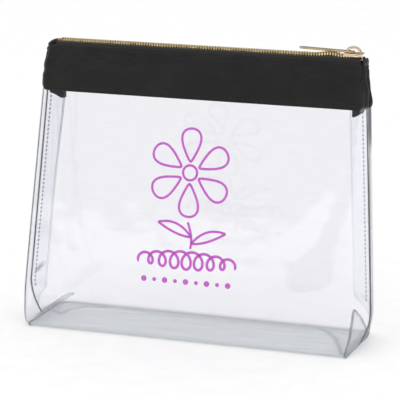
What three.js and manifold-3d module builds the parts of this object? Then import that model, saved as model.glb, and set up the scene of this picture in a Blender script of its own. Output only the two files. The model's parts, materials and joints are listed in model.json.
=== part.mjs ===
// A clear vinyl make-up bag with a black fabric band, boxed corners and a gold zip.
//
// The bag stands on its base. +X points to its right, +Y to its back and +Z up, in millimetres.
// The origin is the middle of the base. The two walls lean together from the base's long folds to
// the mouth, where a zip joins them. The mouth sits a little to the right of the base.
//
// One clear sheet makes both walls, the base and the sides. It is drawn as flat panels between its
// fold lines, because the walls turn about the two folds along the base.

import * as THREE from 'three';
import { ConvexGeometry } from 'three/addons/geometries/ConvexGeometry.js';
import { mergeVertices } from 'three/addons/utils/BufferGeometryUtils.js';
import Module from 'manifold-3d';

const wasm = await Module();
wasm.setup();

// ---------------------------------------------------------------- driving sizes

// The bag
const baseWidth = 230;
const baseDepth = 62;
const wallHeight = 196; // floor to the top of the band
const mouthWidth = 225;
const mouthShift = 5.5; // how far the mouth's middle is right of the base's middle
const sideBulge = 9; // how far a side seam stands out past the corner folds
const bulgeHeight = 25; // height at which it stands out most

// Sheets and cloth
const sheet = 0.5; // clear vinyl
const cloth = 0.6; // black band fabric
const tape = 0.6; // zip tape
const thread = 0.3;
const threadWidth = 0.5;
const clearance = 0.3; // between pieces that touch on the real bag

// Seams and corners
const seamAllowance = 11; // clear sheet turned in at each side seam
const sideStitchInset = 3; // side seam to its stitching
const facetLap = 0.01; // share of a side's height by which its two facets lap
const flapTipTrim = 3; // cut off the corner flap's point
const flapTipRadius = 3;
const leftFlapTilt = THREE.MathUtils.degToRad(35); // up from the base
const rightFlapTilt = THREE.MathUtils.degToRad(80); // this one stands up against the side
const flapStitchInset = 3;

// The band
const bandHeight = 33;
const vinylUnderBand = 7;
const facingDrop = 1.3; // facing's top edge below the slider
const facingFootRise = 2; // facing's lower edge above the band's lower edge
const topStitchDrop = 4;
const hemStitchRise = 2.5;
const tailWidth = 12; // black seam allowance inside each side
const tailDrop = 4; // how far it hangs below the band

// The zip
const zipLevelRise = 0.4; // tape's middle above the band's top
const tapeSlack = 0.5; // between the slider's shoulders and the tape's fold
const tapeLeg = 14; // tape sewn down inside the band
const chainHalfWidth = 3;
const chainHeight = 2.8;
const toothPitch = 1.83;
const toothWidth = 0.65;
const toothReach = 1; // tooth tip past the zip's centre line
const railInner = 1.3; // rail's inner edge from the centre line
const tapeGrip = 0.7; // tape edge inside the rail's groove
const leftEndCover = 7.2; // mouth's left end to the first tooth
const rightEndCover = 3; // width of the right end tab
const tabHeight = 2.2;
const tabHalfDepth = 5;

// The slider and its pull
const sliderLength = 12.7;
const sliderPlate = 0.9; // each of its two plates
const sliderFlange = 0.9; // the rims that hold the teeth in
const throatSpread = 1.2; // its shoulders are this much wider each side than its tail
const throatStart = 2; // where the slider widens, each side of its middle
const sliderCorner = 1.4;
const divider = { start: 1.6, widest: 3.6, end: 5.9, halfWidth: 1.5 };
const bridge = { halfLength: 5.5, height: 4.8, bar: 1.3, halfWidth: 1.1 };
const pullLength = 37; // turning axis to tip
const pullThickness = 1;
const pullArm = 1; // the strips beside the window
const pullPlay = 0.4; // between the window and the bridge

// ---------------------------------------------------------------- the bag's planes

const LEFT = -1;
const RIGHT = 1;
const FRONT = -1;
const BACK = 1;

const sliderHalfHeight = chainHeight / 2 + clearance + sliderPlate;
const sliderTailHalfWidth = chainHalfWidth + clearance + sliderFlange;
const sliderShoulderHalfWidth = sliderTailHalfWidth + throatSpread;
const mouthHalfGap = sliderShoulderHalfWidth + tapeSlack + tape; // centre line to each wall
const flapReach = baseDepth / 2 - flapTipTrim; // a boxed corner is as long as it is wide each side
const footHeight = sheet + clearance; // lower edge of the walls, just above the base
const flapTilt = (side) => (side === LEFT ? leftFlapTilt : rightFlapTilt);
// Each side seam's allowance ends just above the flap that it runs into
const allowanceFoot = (side) =>
  footHeight + flapReach * Math.sin(flapTilt(side)) + 2 * sheet + clearance;
const bandFoot = wallHeight - bandHeight;
const vinylTop = bandFoot + vinylUnderBand;
const sideTop = bandFoot - clearance;
const zipLevel = wallHeight + zipLevelRise;
const facingTop = zipLevel - sliderHalfHeight - facingDrop;
const wallLean = Math.atan((baseDepth / 2 - mouthHalfGap) / wallHeight);
const chainLeft = mouthShift - mouthWidth / 2 + leftEndCover;
const sliderRight = mouthShift + mouthWidth / 2 - rightEndCover - clearance;
const sliderCentre = sliderRight - sliderLength / 2;
const chainRight = sliderCentre + divider.start - clearance;

const between = (a, b, t) => a + (b - a) * t;

// The corner fold on one side of the bag at a height
const foldX = (side, z) =>
  between((side * baseWidth) / 2, mouthShift + (side * mouthWidth) / 2, z / wallHeight);

// Half the bag's depth at a height
const halfDepth = (z) => between(baseDepth / 2, mouthHalfGap, z / wallHeight);

// The side seam, which stands out most a little above the base
function seamX(side, z) {
  const widest = side * (baseWidth / 2 + sideBulge);
  if (z < bulgeHeight) return between(foldX(side, 0), widest, z / bulgeHeight);
  const top = foldX(side, sideTop) + side;
  return between(widest, top, (z - bulgeHeight) / (sideTop - bulgeHeight));
}

// A point on a wall, moved outwards from its outer face
function wallPoint(face, x, z, out) {
  const y = face * (halfDepth(z) + out * Math.cos(wallLean));
  return new THREE.Vector3(x, y, z + out * Math.sin(wallLean));
}

// ---------------------------------------------------------------- finishes

const finish = (color, roughness, metalness = 0, opacity = 1) =>
  new THREE.MeshStandardMaterial({
    color,
    roughness,
    metalness,
    opacity,
    transparent: opacity < 1,
  });

const clearVinyl = () => finish(0xe9edf2, 0.12, 0, 0.3);
const blackSatin = () => finish(0x2a2829, 0.5);
const blackTape = () => finish(0x1d1c1d, 0.8);
const goldZip = () => finish(0xc8a55a, 0.3, 1);
const blackThread = () => finish(0x161516, 0.7);
const clearThread = () => finish(0xd8dbe0, 0.4);

// ---------------------------------------------------------------- small makers

function named(name, geometry, material) {
  const mesh = new THREE.Mesh(geometry, material);
  mesh.name = name;
  return mesh;
}

function polygon(points) {
  return new THREE.Shape(points.map(([x, y]) => new THREE.Vector2(x, y)));
}

function extruded(shape, depth) {
  return new THREE.ExtrudeGeometry(shape, { depth, bevelEnabled: false, curveSegments: 8 });
}

// A closed solid that manifold-3d can join and cut
function toSolid(geometry) {
  const bare = geometry.clone();
  bare.deleteAttribute('normal');
  bare.deleteAttribute('uv');
  const merged = mergeVertices(bare, 1e-4);
  return new wasm.Manifold(
    new wasm.Mesh({
      numProp: 3,
      vertProperties: Float32Array.from(merged.attributes.position.array),
      triVerts: Uint32Array.from(merged.index.array),
    }),
  );
}

function toGeometry(solid) {
  const { vertProperties, triVerts } = solid.getMesh();
  const geometry = new THREE.BufferGeometry();
  geometry.setAttribute('position', new THREE.BufferAttribute(vertProperties, 3));
  geometry.setIndex(new THREE.BufferAttribute(triVerts, 1));
  geometry.computeVertexNormals();
  return geometry;
}

// A flat layer of a wall, from an outline of [x, z] corners and its two distances from the wall
function wallLayer(face, outline, inner, outer) {
  const corners = outline.flatMap(([x, z]) => [
    wallPoint(face, x, z, inner),
    wallPoint(face, x, z, outer),
  ]);
  return new ConvexGeometry(corners);
}

// A four-cornered outline between two heights, as wide as the wall less an inset
function wallOutline(lower, upper, inset) {
  return [
    [foldX(LEFT, lower) + inset, lower],
    [foldX(RIGHT, lower) - inset, lower],
    [foldX(RIGHT, upper) - inset, upper],
    [foldX(LEFT, upper) + inset, upper],
  ];
}

// A thin strip in the bag's middle plane, from an outline of [x, z] corners
function midPlaneStrip(name, outline, thickness, y, material) {
  const mesh = named(name, extruded(polygon(outline), thickness), material);
  mesh.rotation.x = Math.PI / 2;
  mesh.position.y = y + thickness / 2;
  return mesh;
}

// The outline of a strip that follows a side seam between two heights
function seamStripOutline(side, lower, upper, from, to) {
  const heights = [lower, bulgeHeight, upper].filter((z) => z >= lower);
  const outer = heights.map((z) => [seamX(side, z) - side * from, z]);
  const inner = heights.map((z) => [seamX(side, z) - side * to, z]);
  return [...outer, ...inner.reverse()];
}

// ---------------------------------------------------------------- base and sides

function basePanel() {
  const mesh = named(
    'base_panel',
    new THREE.BoxGeometry(baseWidth, baseDepth, sheet),
    clearVinyl(),
  );
  mesh.position.z = sheet / 2;
  return mesh;
}

// Half of a side, from a wall's corner fold to the side seam, bent where it bulges
function sideHalf(side, face) {
  const edgeY = (z) => face * (halfDepth(z) - sheet - clearance);
  const seamY = (face * clearance) / 2;
  const footFold = new THREE.Vector3(foldX(side, footHeight), edgeY(footHeight), footHeight);
  const footSeam = new THREE.Vector3(seamX(side, footHeight), seamY, footHeight);
  const bulge = new THREE.Vector3(seamX(side, bulgeHeight), seamY, bulgeHeight);
  const topSeam = new THREE.Vector3(seamX(side, sideTop), seamY, sideTop);
  const topFold = new THREE.Vector3(foldX(side, sideTop), edgeY(sideTop), sideTop);
  const inward = new THREE.Vector3(-side * sheet, 0, 0);
  const middle = (a, b) => a.clone().lerp(b, 0.5);
  // A point just inside the upper facet, where the lower one laps into it
  const lap = middle(footFold, bulge)
    .lerp(middle(topFold, topSeam), facetLap)
    .addScaledVector(inward, 0.5);
  const facet = (corners, extra = []) =>
    toSolid(new ConvexGeometry([...corners.flatMap((p) => [p, p.clone().add(inward)]), ...extra]));
  const lower = facet([footFold, footSeam, bulge], [lap]);
  const upper = facet([footFold, bulge, topSeam, topFold]);
  return toGeometry(lower.add(upper));
}

function sideSeam(side, word) {
  const start = sheet + 2 * clearance;
  const end = start + seamAllowance;
  const outline = seamStripOutline(side, allowanceFoot(side), sideTop, start, end);
  return midPlaneStrip(`${word}_side_seam`, outline, 2 * sheet, 0, clearVinyl());
}

function sideStitching(side, word) {
  const start = sheet + sideStitchInset;
  const outline = seamStripOutline(
    side,
    allowanceFoot(side) + sideStitchInset,
    sideTop - sideStitchInset,
    start,
    start + threadWidth,
  );
  const y = -(sheet + clearance + thread / 2);
  return midPlaneStrip(`${word}_side_stitching`, outline, thread, y, clearThread());
}

// The boxed corner's triangular flap, sewn across the base's edge and standing up inside the bag
function cornerFlap(side, word) {
  const half = baseDepth / 2 - sheet - 2 * clearance;
  const shoulder = (half * flapTipRadius) / flapReach;
  const outline = new THREE.Shape();
  outline.moveTo(-half, 0);
  outline.lineTo(half, 0);
  outline.lineTo(shoulder, flapReach - flapTipRadius);
  outline.quadraticCurveTo(0, flapReach + flapTipRadius, -shoulder, flapReach - flapTipRadius);
  outline.closePath();
  const flap = named(`${word}_corner_flap`, extruded(outline, 2 * sheet), clearVinyl());
  flap.rotation.z = (side * Math.PI) / 2;

  const stitchHalf = half - 2 * flapStitchInset;
  const stitching = named(
    `${word}_corner_stitching`,
    new THREE.BoxGeometry(threadWidth, 2 * stitchHalf, thread),
    clearThread(),
  );
  stitching.position.set(-side * flapStitchInset, 0, -(clearance + thread / 2));

  const tilt = flapTilt(side);
  const inset = sheet + clearance + 2 * sheet * Math.sin(tilt);
  // The side leans in or out above the base, so the flap clears it over its own thickness
  const edge = Math.min(side * foldX(side, 0), side * foldX(side, footHeight + 2 * sheet));
  const group = new THREE.Group();
  group.position.set(side * (edge - inset), 0, footHeight);
  group.rotation.y = side * tilt;
  group.add(flap, stitching);
  return group;
}

// The ends of both bands, turned round the side and sewn together there
function bandEnd(side, word) {
  const lower = bandFoot + clearance;
  const upper = wallHeight - clearance;
  const corners = [];
  for (const z of [lower, upper]) {
    for (const out of [clearance, clearance + cloth]) {
      for (const face of [FRONT, BACK]) {
        corners.push(new THREE.Vector3(foldX(side, z) + side * out, face * halfDepth(z), z));
      }
    }
  }
  return named(`${word}_band_end`, new ConvexGeometry(corners), blackSatin());
}

// The black seam allowance inside each end of the band, which hangs below it as a short tail
function bandTail(side, word) {
  const lower = bandFoot - tailDrop;
  const upper = facingTop;
  const outer = clearance + seamAllowance + sheet + 2 * clearance;
  const outline = [
    [foldX(side, sideTop) - side * clearance, sideTop + 2 * clearance],
    [foldX(side, upper) - side * clearance, upper],
    [foldX(side, upper) - side * tailWidth, upper],
    [foldX(side, lower) - side * (outer + tailWidth / 4), lower],
    [foldX(side, lower) - side * outer, lower],
    [foldX(side, sideTop) - side * outer, sideTop + 2 * clearance],
  ];
  return midPlaneStrip(`${word}_band_tail`, outline, 2 * cloth, 0, blackSatin());
}

// The fabric tab folded over each end of the zip
function zipEndTab(side, word) {
  const mouthEnd = mouthShift + (side * mouthWidth) / 2;
  const length = (side === LEFT ? leftEndCover : rightEndCover) - clearance;
  const tab = named(
    `${word}_zip_end_tab`,
    new THREE.BoxGeometry(length, 2 * tabHalfDepth, tabHeight),
    blackSatin(),
  );
  tab.position.set(mouthEnd - (side * length) / 2, 0, wallHeight + tabHeight / 2);
  return tab;
}

function bagBase() {
  const group = new THREE.Group();
  group.add(basePanel());
  for (const [side, word] of [
    [LEFT, 'left'],
    [RIGHT, 'right'],
  ]) {
    group.add(named(`${word}_side_front`, sideHalf(side, FRONT), clearVinyl()));
    group.add(named(`${word}_side_back`, sideHalf(side, BACK), clearVinyl()));
    group.add(sideSeam(side, word));
    group.add(sideStitching(side, word));
    group.add(cornerFlap(side, word));
    group.add(bandEnd(side, word));
    group.add(bandTail(side, word));
    group.add(zipEndTab(side, word));
  }
  return group;
}

// ---------------------------------------------------------------- walls

function wallPanel(face) {
  return wallLayer(face, wallOutline(footHeight, vinylTop, 0), -sheet, 0);
}

function band(face) {
  const outline = wallOutline(bandFoot, wallHeight, -(clearance + cloth));
  return wallLayer(face, outline, clearance, clearance + cloth);
}

function bandFacing(face) {
  const lower = bandFoot + facingFootRise;
  const inner = -(Math.max(sheet, tape) + clearance + cloth);
  return wallLayer(face, wallOutline(lower, facingTop, clearance), inner, inner + cloth);
}

function stitchLine(face, z, inset) {
  const inner = 2 * clearance + cloth;
  const outline = wallOutline(z, z + threadWidth, inset);
  return wallLayer(face, outline, inner, inner + thread);
}

// Half of the zip's tape: level beside the teeth, then folded down inside the band
function zipTape(face) {
  const top = zipLevel + tape / 2;
  const wallY = (z, out) => face * (halfDepth(z) + out);
  const edge = face * (chainHalfWidth - tapeGrip);
  const foot = wallHeight - tapeLeg;
  const section = polygon([
    [edge, top],
    [edge, top - tape],
    [wallY(top - tape, -tape), top - tape],
    [wallY(foot, -tape), foot],
    [wallY(foot, 0), foot],
    [wallY(top, 0), top],
  ]);
  const mesh = named('', extruded(section, sliderRight - chainLeft), blackTape());
  mesh.rotation.set(Math.PI / 2, Math.PI / 2, 0);
  mesh.position.x = chainLeft;
  return mesh;
}

// One row of teeth on its rail, which grips the tape's edge in a groove
function teethRow(face) {
  const shift = face === FRONT ? 0 : toothPitch / 2;
  const toothMargin = (toothPitch / 2 - toothWidth) / 2;
  const count = Math.floor((chainRight - chainLeft - toothPitch) / toothPitch);
  const points = [
    [chainLeft, face * chainHalfWidth],
    [chainLeft, face * railInner],
  ];
  for (let i = 0; i < count; i++) {
    const x = chainLeft + shift + i * toothPitch + toothMargin;
    points.push([x, face * railInner]);
    points.push([x, -face * toothReach]);
    points.push([x + toothWidth, -face * toothReach]);
    points.push([x + toothWidth, face * railInner]);
  }
  points.push([chainRight, face * railInner]);
  points.push([chainRight, face * chainHalfWidth]);
  const row = extruded(polygon(points), chainHeight);
  row.translate(0, 0, zipLevel - chainHeight / 2);

  const grooveDepth = tapeGrip + clearance;
  const groove = new THREE.BoxGeometry(
    2 * (chainRight - chainLeft),
    2 * grooveDepth,
    tape + 2 * clearance,
  );
  groove.translate((chainLeft + chainRight) / 2, face * chainHalfWidth, zipLevel);
  return toGeometry(toSolid(row).subtract(toSolid(groove)));
}

function wall(face, word) {
  const group = new THREE.Group();
  const tapeMesh = zipTape(face);
  tapeMesh.name = `${word}_zip_tape`;
  group.add(
    named(`${word}_panel`, wallPanel(face), clearVinyl()),
    named(`${word}_band`, band(face), blackSatin()),
    named(`${word}_band_facing`, bandFacing(face), blackSatin()),
    tapeMesh,
    named(`${word}_teeth`, teethRow(face), goldZip()),
    named(
      `${word}_top_stitching`,
      stitchLine(face, wallHeight - topStitchDrop, leftEndCover),
      blackThread(),
    ),
    named(`${word}_hem_stitching`, stitchLine(face, bandFoot + hemStitchRise, 0), blackThread()),
  );
  return group;
}

// ---------------------------------------------------------------- slider and pull

function sliderOutline() {
  const end = sliderLength / 2;
  const tail = sliderTailHalfWidth;
  const shoulder = sliderShoulderHalfWidth;
  return polygon([
    [-end, -tail],
    [-throatStart, -tail],
    [throatStart, -shoulder],
    [end - sliderCorner, -shoulder],
    [end, -shoulder + sliderCorner],
    [end, shoulder - sliderCorner],
    [end - sliderCorner, shoulder],
    [throatStart, shoulder],
    [-throatStart, tail],
    [-end, tail],
  ]);
}

// The passage for the teeth: one channel at the tail, widening to two throats
function sliderChannel() {
  const tail = sliderTailHalfWidth - sliderFlange;
  const mouth = sliderShoulderHalfWidth - sliderFlange;
  const end = sliderLength; // well past both ends
  return polygon([
    [-end, -tail],
    [-throatStart, -tail],
    [throatStart, -mouth],
    [end, -mouth],
    [end, mouth],
    [throatStart, mouth],
    [-throatStart, tail],
    [-end, tail],
  ]);
}

function centred(shape, height) {
  const geometry = extruded(shape, height);
  geometry.translate(0, 0, -height / 2);
  return toSolid(geometry);
}

// The arch over the slider that holds the pull
function bridgeSolid() {
  const arch = new THREE.Shape();
  const sink = sliderPlate / 2; // its feet reach down into the slider's upper plate
  arch.moveTo(-bridge.halfLength, -sink);
  arch.lineTo(-bridge.halfLength, 0);
  arch.absellipse(0, 0, bridge.halfLength, bridge.height, Math.PI, 0, true);
  arch.lineTo(bridge.halfLength, -sink);
  const holeLength = bridge.halfLength - bridge.bar;
  arch.lineTo(holeLength, -sink);
  arch.absellipse(0, 0, holeLength, bridge.height - bridge.bar, 0, Math.PI, false);
  arch.lineTo(-holeLength, -sink);
  const geometry = extruded(arch, 2 * bridge.halfWidth);
  geometry.rotateX(Math.PI / 2);
  geometry.translate(0, bridge.halfWidth, sliderHalfHeight);
  return toSolid(geometry);
}

function sliderBody() {
  const height = 2 * sliderHalfHeight;
  const channelHeight = chainHeight + 2 * clearance;
  const tapeSlot = new THREE.BoxGeometry(
    2 * sliderLength,
    4 * sliderShoulderHalfWidth,
    tape + 2 * clearance,
  );
  const post = polygon([
    [divider.start, 0],
    [divider.widest, -divider.halfWidth],
    [divider.end, -divider.halfWidth / 2],
    [divider.end, divider.halfWidth / 2],
    [divider.widest, divider.halfWidth],
  ]);
  const body = centred(sliderOutline(), height)
    .subtract(centred(sliderChannel(), channelHeight))
    .subtract(toSolid(tapeSlot))
    .add(centred(post, height))
    .add(bridgeSolid());
  return toGeometry(body);
}

// The pull: a long tab whose window straddles the bridge and whose end bar turns inside it
function pullTab() {
  const hole = bridge.halfWidth + pullPlay;
  const w = hole + pullArm;
  const bar = pullThickness / 2;
  const windowEnd = bridge.halfLength + bar + pullPlay;
  const outline = new THREE.Shape();
  outline.moveTo(bar, -w);
  outline.lineTo(bar, w);
  outline.lineTo(-(pullLength - w), w);
  outline.absarc(-(pullLength - w), 0, w, Math.PI / 2, (3 * Math.PI) / 2, false);
  outline.closePath();
  const corners = [
    [-windowEnd, -hole],
    [-windowEnd, hole],
    [-bar, hole],
    [-bar, -hole],
  ];
  outline.holes.push(new THREE.Path(corners.map(([x, y]) => new THREE.Vector2(x, y))));
  return extruded(outline, pullThickness);
}

function sliderGroup() {
  const group = new THREE.Group();
  group.position.set(sliderCentre, 0, zipLevel);
  const tab = named('pull_tab', pullTab(), goldZip());
  tab.position.z = sliderHalfHeight + clearance;
  group.add(named('slider_body', sliderBody(), goldZip()), tab);
  return group;
}

// ---------------------------------------------------------------- the whole bag

const bag = new THREE.Group();
bag.add(bagBase(), wall(FRONT, 'front'), wall(BACK, 'back'), sliderGroup());

export default bag;
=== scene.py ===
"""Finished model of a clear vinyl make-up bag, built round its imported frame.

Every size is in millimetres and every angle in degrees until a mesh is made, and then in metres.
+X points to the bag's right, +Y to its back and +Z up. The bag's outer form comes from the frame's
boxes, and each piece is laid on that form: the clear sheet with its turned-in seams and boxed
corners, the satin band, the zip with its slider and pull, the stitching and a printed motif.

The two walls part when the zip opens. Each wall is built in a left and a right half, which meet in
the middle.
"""
from __future__ import annotations

import json
import logging
import math
from dataclasses import dataclass
from enum import Enum
from functools import cache
from typing import Callable, Iterable, Sequence

import bmesh
import bpy
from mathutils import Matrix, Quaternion, Vector, noise

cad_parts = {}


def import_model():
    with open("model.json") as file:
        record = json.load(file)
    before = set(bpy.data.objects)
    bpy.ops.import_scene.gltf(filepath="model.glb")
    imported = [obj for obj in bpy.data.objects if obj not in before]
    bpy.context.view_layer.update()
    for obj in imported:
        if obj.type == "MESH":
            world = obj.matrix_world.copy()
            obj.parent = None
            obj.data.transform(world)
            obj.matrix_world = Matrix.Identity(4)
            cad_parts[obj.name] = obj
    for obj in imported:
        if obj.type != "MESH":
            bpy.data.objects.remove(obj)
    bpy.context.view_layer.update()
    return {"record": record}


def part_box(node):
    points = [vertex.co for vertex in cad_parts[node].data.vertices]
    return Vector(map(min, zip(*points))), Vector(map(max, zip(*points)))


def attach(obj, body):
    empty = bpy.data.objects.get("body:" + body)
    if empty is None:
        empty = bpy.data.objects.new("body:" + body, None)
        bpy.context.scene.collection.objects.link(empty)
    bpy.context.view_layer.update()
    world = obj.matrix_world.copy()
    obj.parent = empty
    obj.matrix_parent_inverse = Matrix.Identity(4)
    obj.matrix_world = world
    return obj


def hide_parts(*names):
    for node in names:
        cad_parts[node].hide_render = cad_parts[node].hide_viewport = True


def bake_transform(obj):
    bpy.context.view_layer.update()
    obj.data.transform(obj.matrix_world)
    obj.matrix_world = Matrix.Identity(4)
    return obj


log = logging.getLogger("makeup_bag")

MM = 0.001
FOLD_SHADE_LAYER = "fold"  # painted shade along folds and seams: how dark the sheet is drawn at a point, 0 to 1
SHARP_ANGLE = math.radians(38)
WAVE_LENGTH = 0.31  # metres from band to band of a wave texture whose scale is 1

Section = list[tuple[float, float, float]]  # points of a cut through a sheet: x, y and the painted shade along folds there
Path = tuple[tuple[float, float], ...]  # corners of a line on a flat sheet
Grid = list[list[Vector]]
# each point's painted shade along folds
FoldShadeGrid = list[list[float]]


class Side(Enum):
    """The bag's left or right."""

    LEFT = -1
    RIGHT = 1


class Face(Enum):
    """The bag's front or back."""

    FRONT = -1
    BACK = 1


class Rim(Enum):
    """An edge of a slab: its first and last row, and the start and end of its rows."""

    FIRST = "first"
    LAST = "last"
    START = "start"
    END = "end"


def word(choice: Enum) -> str:
    """Return a choice's name as it stands in piece names."""
    return choice.name.lower()


# ------------------------------------------------------------------ numbers


def lerp(a: float, b: float, t: float) -> float:
    """Return the value a share t of the way from a to b."""
    return a + (b - a) * t


def clamp(value: float, low: float = 0.0, high: float = 1.0) -> float:
    """Return the value held between two limits."""
    return max(low, min(high, value))


def smooth(t: float) -> float:
    """Return t eased at both ends, from 0 to 1."""
    t = clamp(t)
    return t * t * (3 - 2 * t)


def bump(value: float, centre: float, width: float) -> float:
    """Return 1 at the centre, falling smoothly to 0 at about twice the width."""
    return math.exp(-(((value - centre) / width) ** 2))


def spread(low: float, high: float, step: float) -> list[float]:
    """Return evenly spaced values from low to high, about a step apart.

    Args:
        low: first value.
        high: last value.
        step: greatest distance between two values.

    Returns:
        The values, with both ends.
    """
    count = max(1, math.ceil((high - low) / step))
    return [lerp(low, high, i / count) for i in range(count + 1)]


def bezier(a: Vector, b: Vector, c: Vector, t: float) -> Vector:
    """Return a point on the curve from a to c that leaves and ends towards b."""
    return (1 - t) ** 2 * a + 2 * t * (1 - t) * b + t * t * c


def ripple(x: float, y: float, z: float, scale: float) -> float:
    """Return smooth noise from about -1 to 1 with features of a given size in millimetres."""
    return noise.noise(Vector((x, y, z)) / scale)


def distance_to_path(place: Vector, path: Path) -> float:
    """Return how far a point of a plane is from a line with corners.

    Args:
        place: the point.
        path: the line's corners.

    Returns:
        The distance to its nearest part.
    """
    nearest = math.inf
    for start, end in zip(map(Vector, path), map(Vector, path[1:])):
        along = end - start
        share = clamp((place - start).dot(along) / along.length_squared)
        nearest = min(nearest, (place - start - along * share).length)
    return nearest


# ------------------------------------------------------------------ materials


def linear(colour: str) -> tuple[float, float, float, float]:
    """Turn an sRGB hex colour such as "#d9c48e" to linear red, green, blue and 1.

    Args:
        colour: six hex digits after a hash sign.

    Returns:
        The linear colour with an alpha of 1.
    """
    parts = [int(colour[i : i + 2], 16) / 255 for i in (1, 3, 5)]
    red, green, blue = [p / 12.92 if p <= 0.04045 else ((p + 0.055) / 1.055) ** 2.4 for p in parts]
    return (red, green, blue, 1.0)


def add_node(
    tree: bpy.types.NodeTree,
    kind: str,
    inputs: dict | None = None,
    stops: Sequence[tuple[float, str]] = (),
    **settings,
) -> bpy.types.Node:
    """Add a shader node with its settings, and set or link its inputs.

    Args:
        tree: the node tree that gets the node.
        kind: the node's type name, without "ShaderNode".
        inputs: for each input's name or number, a value or the socket that feeds it.
        stops: the places and sRGB hex colours along the node, if it has a ramp.
        **settings: the node's own properties.

    Returns:
        The new node.
    """
    made = tree.nodes.new(f"ShaderNode{kind}")
    for name, value in settings.items():
        setattr(made, name, value)
    for name, value in (inputs or {}).items():
        if isinstance(value, bpy.types.NodeSocket):
            tree.links.new(value, made.inputs[name])
        else:
            made.inputs[name].default_value = value
    if stops:
        elements = made.color_ramp.elements
        while len(elements) < len(stops):
            elements.new(0.5)
        for element, (place, colour) in zip(elements, stops):
            element.position = place
            element.color = linear(colour)
    return made


class Finish:
    """A material that is made once and shared by the pieces that have it."""

    name: str

    @cache
    def material(self) -> bpy.types.Material:
        """Return the finish's material, made on the first call.

        Returns:
            The material.
        """
        made = bpy.data.materials.new(self.name)
        made.use_nodes = True
        tree = made.node_tree
        tree.nodes.clear()
        place = add_node(tree, "TexCoord").outputs["Object"]
        output = add_node(tree, "OutputMaterial")
        tree.links.new(self.surface(tree, place), output.inputs["Surface"])
        return made

    def surface(self, tree: bpy.types.NodeTree, place: bpy.types.NodeSocket) -> bpy.types.NodeSocket:
        """Build the finish's shader.

        Args:
            tree: the material's node tree.
            place: the surface point in metres.

        Returns:
            The socket with the finished shader.
        """
        raise NotImplementedError


@dataclass(frozen=True)
class ClearVinyl(Finish):
    """Soft PVC sheet, calendered clear and glossy.

    It lets nearly all light through where it faces the eye. Where it turns away, and along folds and
    welded or sewn lines, a grey is mixed in as painted shade, for the dark lines that light bending in the
    plastic draws there.
    """

    name: str = "vinyl_sheet"
    tint: str = "#fdfdfe"  # what one surface lets through
    body: str = "#2f3b46"  # the grey painted in as shade where the sheet is folded or turned away
    haze: float = 0.003  # share of the grey where the sheet faces the eye
    turned: float = 0.36  # share of the painted shade grey where it is seen along its surface
    folded: float = 0.8  # share of the painted shade grey on a sharp fold
    most_gloss: float = 0.1  # its mirror share is held at this, as a second surface lies just behind
    roughness: float = 0.08
    wave_mm: float = 26.0  # length of the waves that the sheet keeps from being rolled up
    grain_mm: float = 5.0  # distance between the fine marks of the calender's rolls
    grain_share: float = 0.06  # their height as a share of the waves'
    steepness: float = 8.0  # how late the painted shade comes in as the sheet turns away

    def surface(self, tree: bpy.types.NodeTree, place: bpy.types.NodeSocket) -> bpy.types.NodeSocket:
        """Mix the clear sheet with a painted shade grey by angle and by fold.

        Args:
            tree: the material's node tree.
            place: the surface point in metres.

        Returns:
            The socket with the finished shader.
        """
        broad = 1 / (self.wave_mm * MM)
        wave = add_node(tree, "TexNoise", {"Vector": place, "Scale": broad, "Detail": 1.0})
        fine = 1 / (self.grain_mm * MM)
        grain = add_node(tree, "TexNoise", {"Vector": place, "Scale": fine, "Detail": 2.0})
        height = add_node(
            tree,
            "Math",
            {0: grain.outputs["Fac"], 1: self.grain_share, 2: wave.outputs["Fac"]},
            operation="MULTIPLY_ADD",
        )
        relief = add_node(
            tree, "Bump", {"Height": height.outputs[0], "Strength": 0.35, "Distance": 2.0 * MM}
        )
        # The grey is painted shade: it darkens the sheet where it turns away and along its folds
        grey = add_node(
            tree,
            "BsdfPrincipled",
            {"Base Color": linear(self.body), "Roughness": 0.5, "IOR": 1.53, "Specular IOR Level": 0.1},
        )
        facing = add_node(tree, "LayerWeight", {"Blend": 0.5}).outputs["Facing"]
        steep = add_node(tree, "Math", {0: facing, 1: self.steepness}, operation="POWER").outputs[0]
        angle_shade = add_node(
            tree, "Math", {0: steep, 1: self.turned, 2: self.haze}, operation="MULTIPLY_ADD"
        ).outputs[0]
        # Painted shade along folds, seams and raw edges, from each point's fold value
        fold = add_node(tree, "Attribute", attribute_name=FOLD_SHADE_LAYER).outputs["Fac"]
        share = add_node(
            tree,
            "Math",
            {0: fold, 1: self.folded, 2: angle_shade},
            operation="MULTIPLY_ADD",
            use_clamp=True,
        ).outputs[0]
        clear = add_node(tree, "BsdfTransparent", {"Color": linear(self.tint)})
        sheet = add_node(tree, "MixShader", {0: share, 1: clear.outputs[0], 2: grey.outputs[0]})
        mirror = add_node(tree, "Fresnel", {"IOR": 1.53, "Normal": relief.outputs["Normal"]})
        held = add_node(tree, "Math", {0: mirror.outputs[0], 1: self.most_gloss}, operation="MINIMUM")
        gloss = add_node(
            tree,
            "BsdfGlossy",
            {"Color": linear("#ffffff"), "Roughness": self.roughness, "Normal": relief.outputs["Normal"]},
        )
        return add_node(
            tree, "MixShader", {0: held.outputs[0], 1: sheet.outputs[0], 2: gloss.outputs[0]}
        ).outputs[0]


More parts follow.
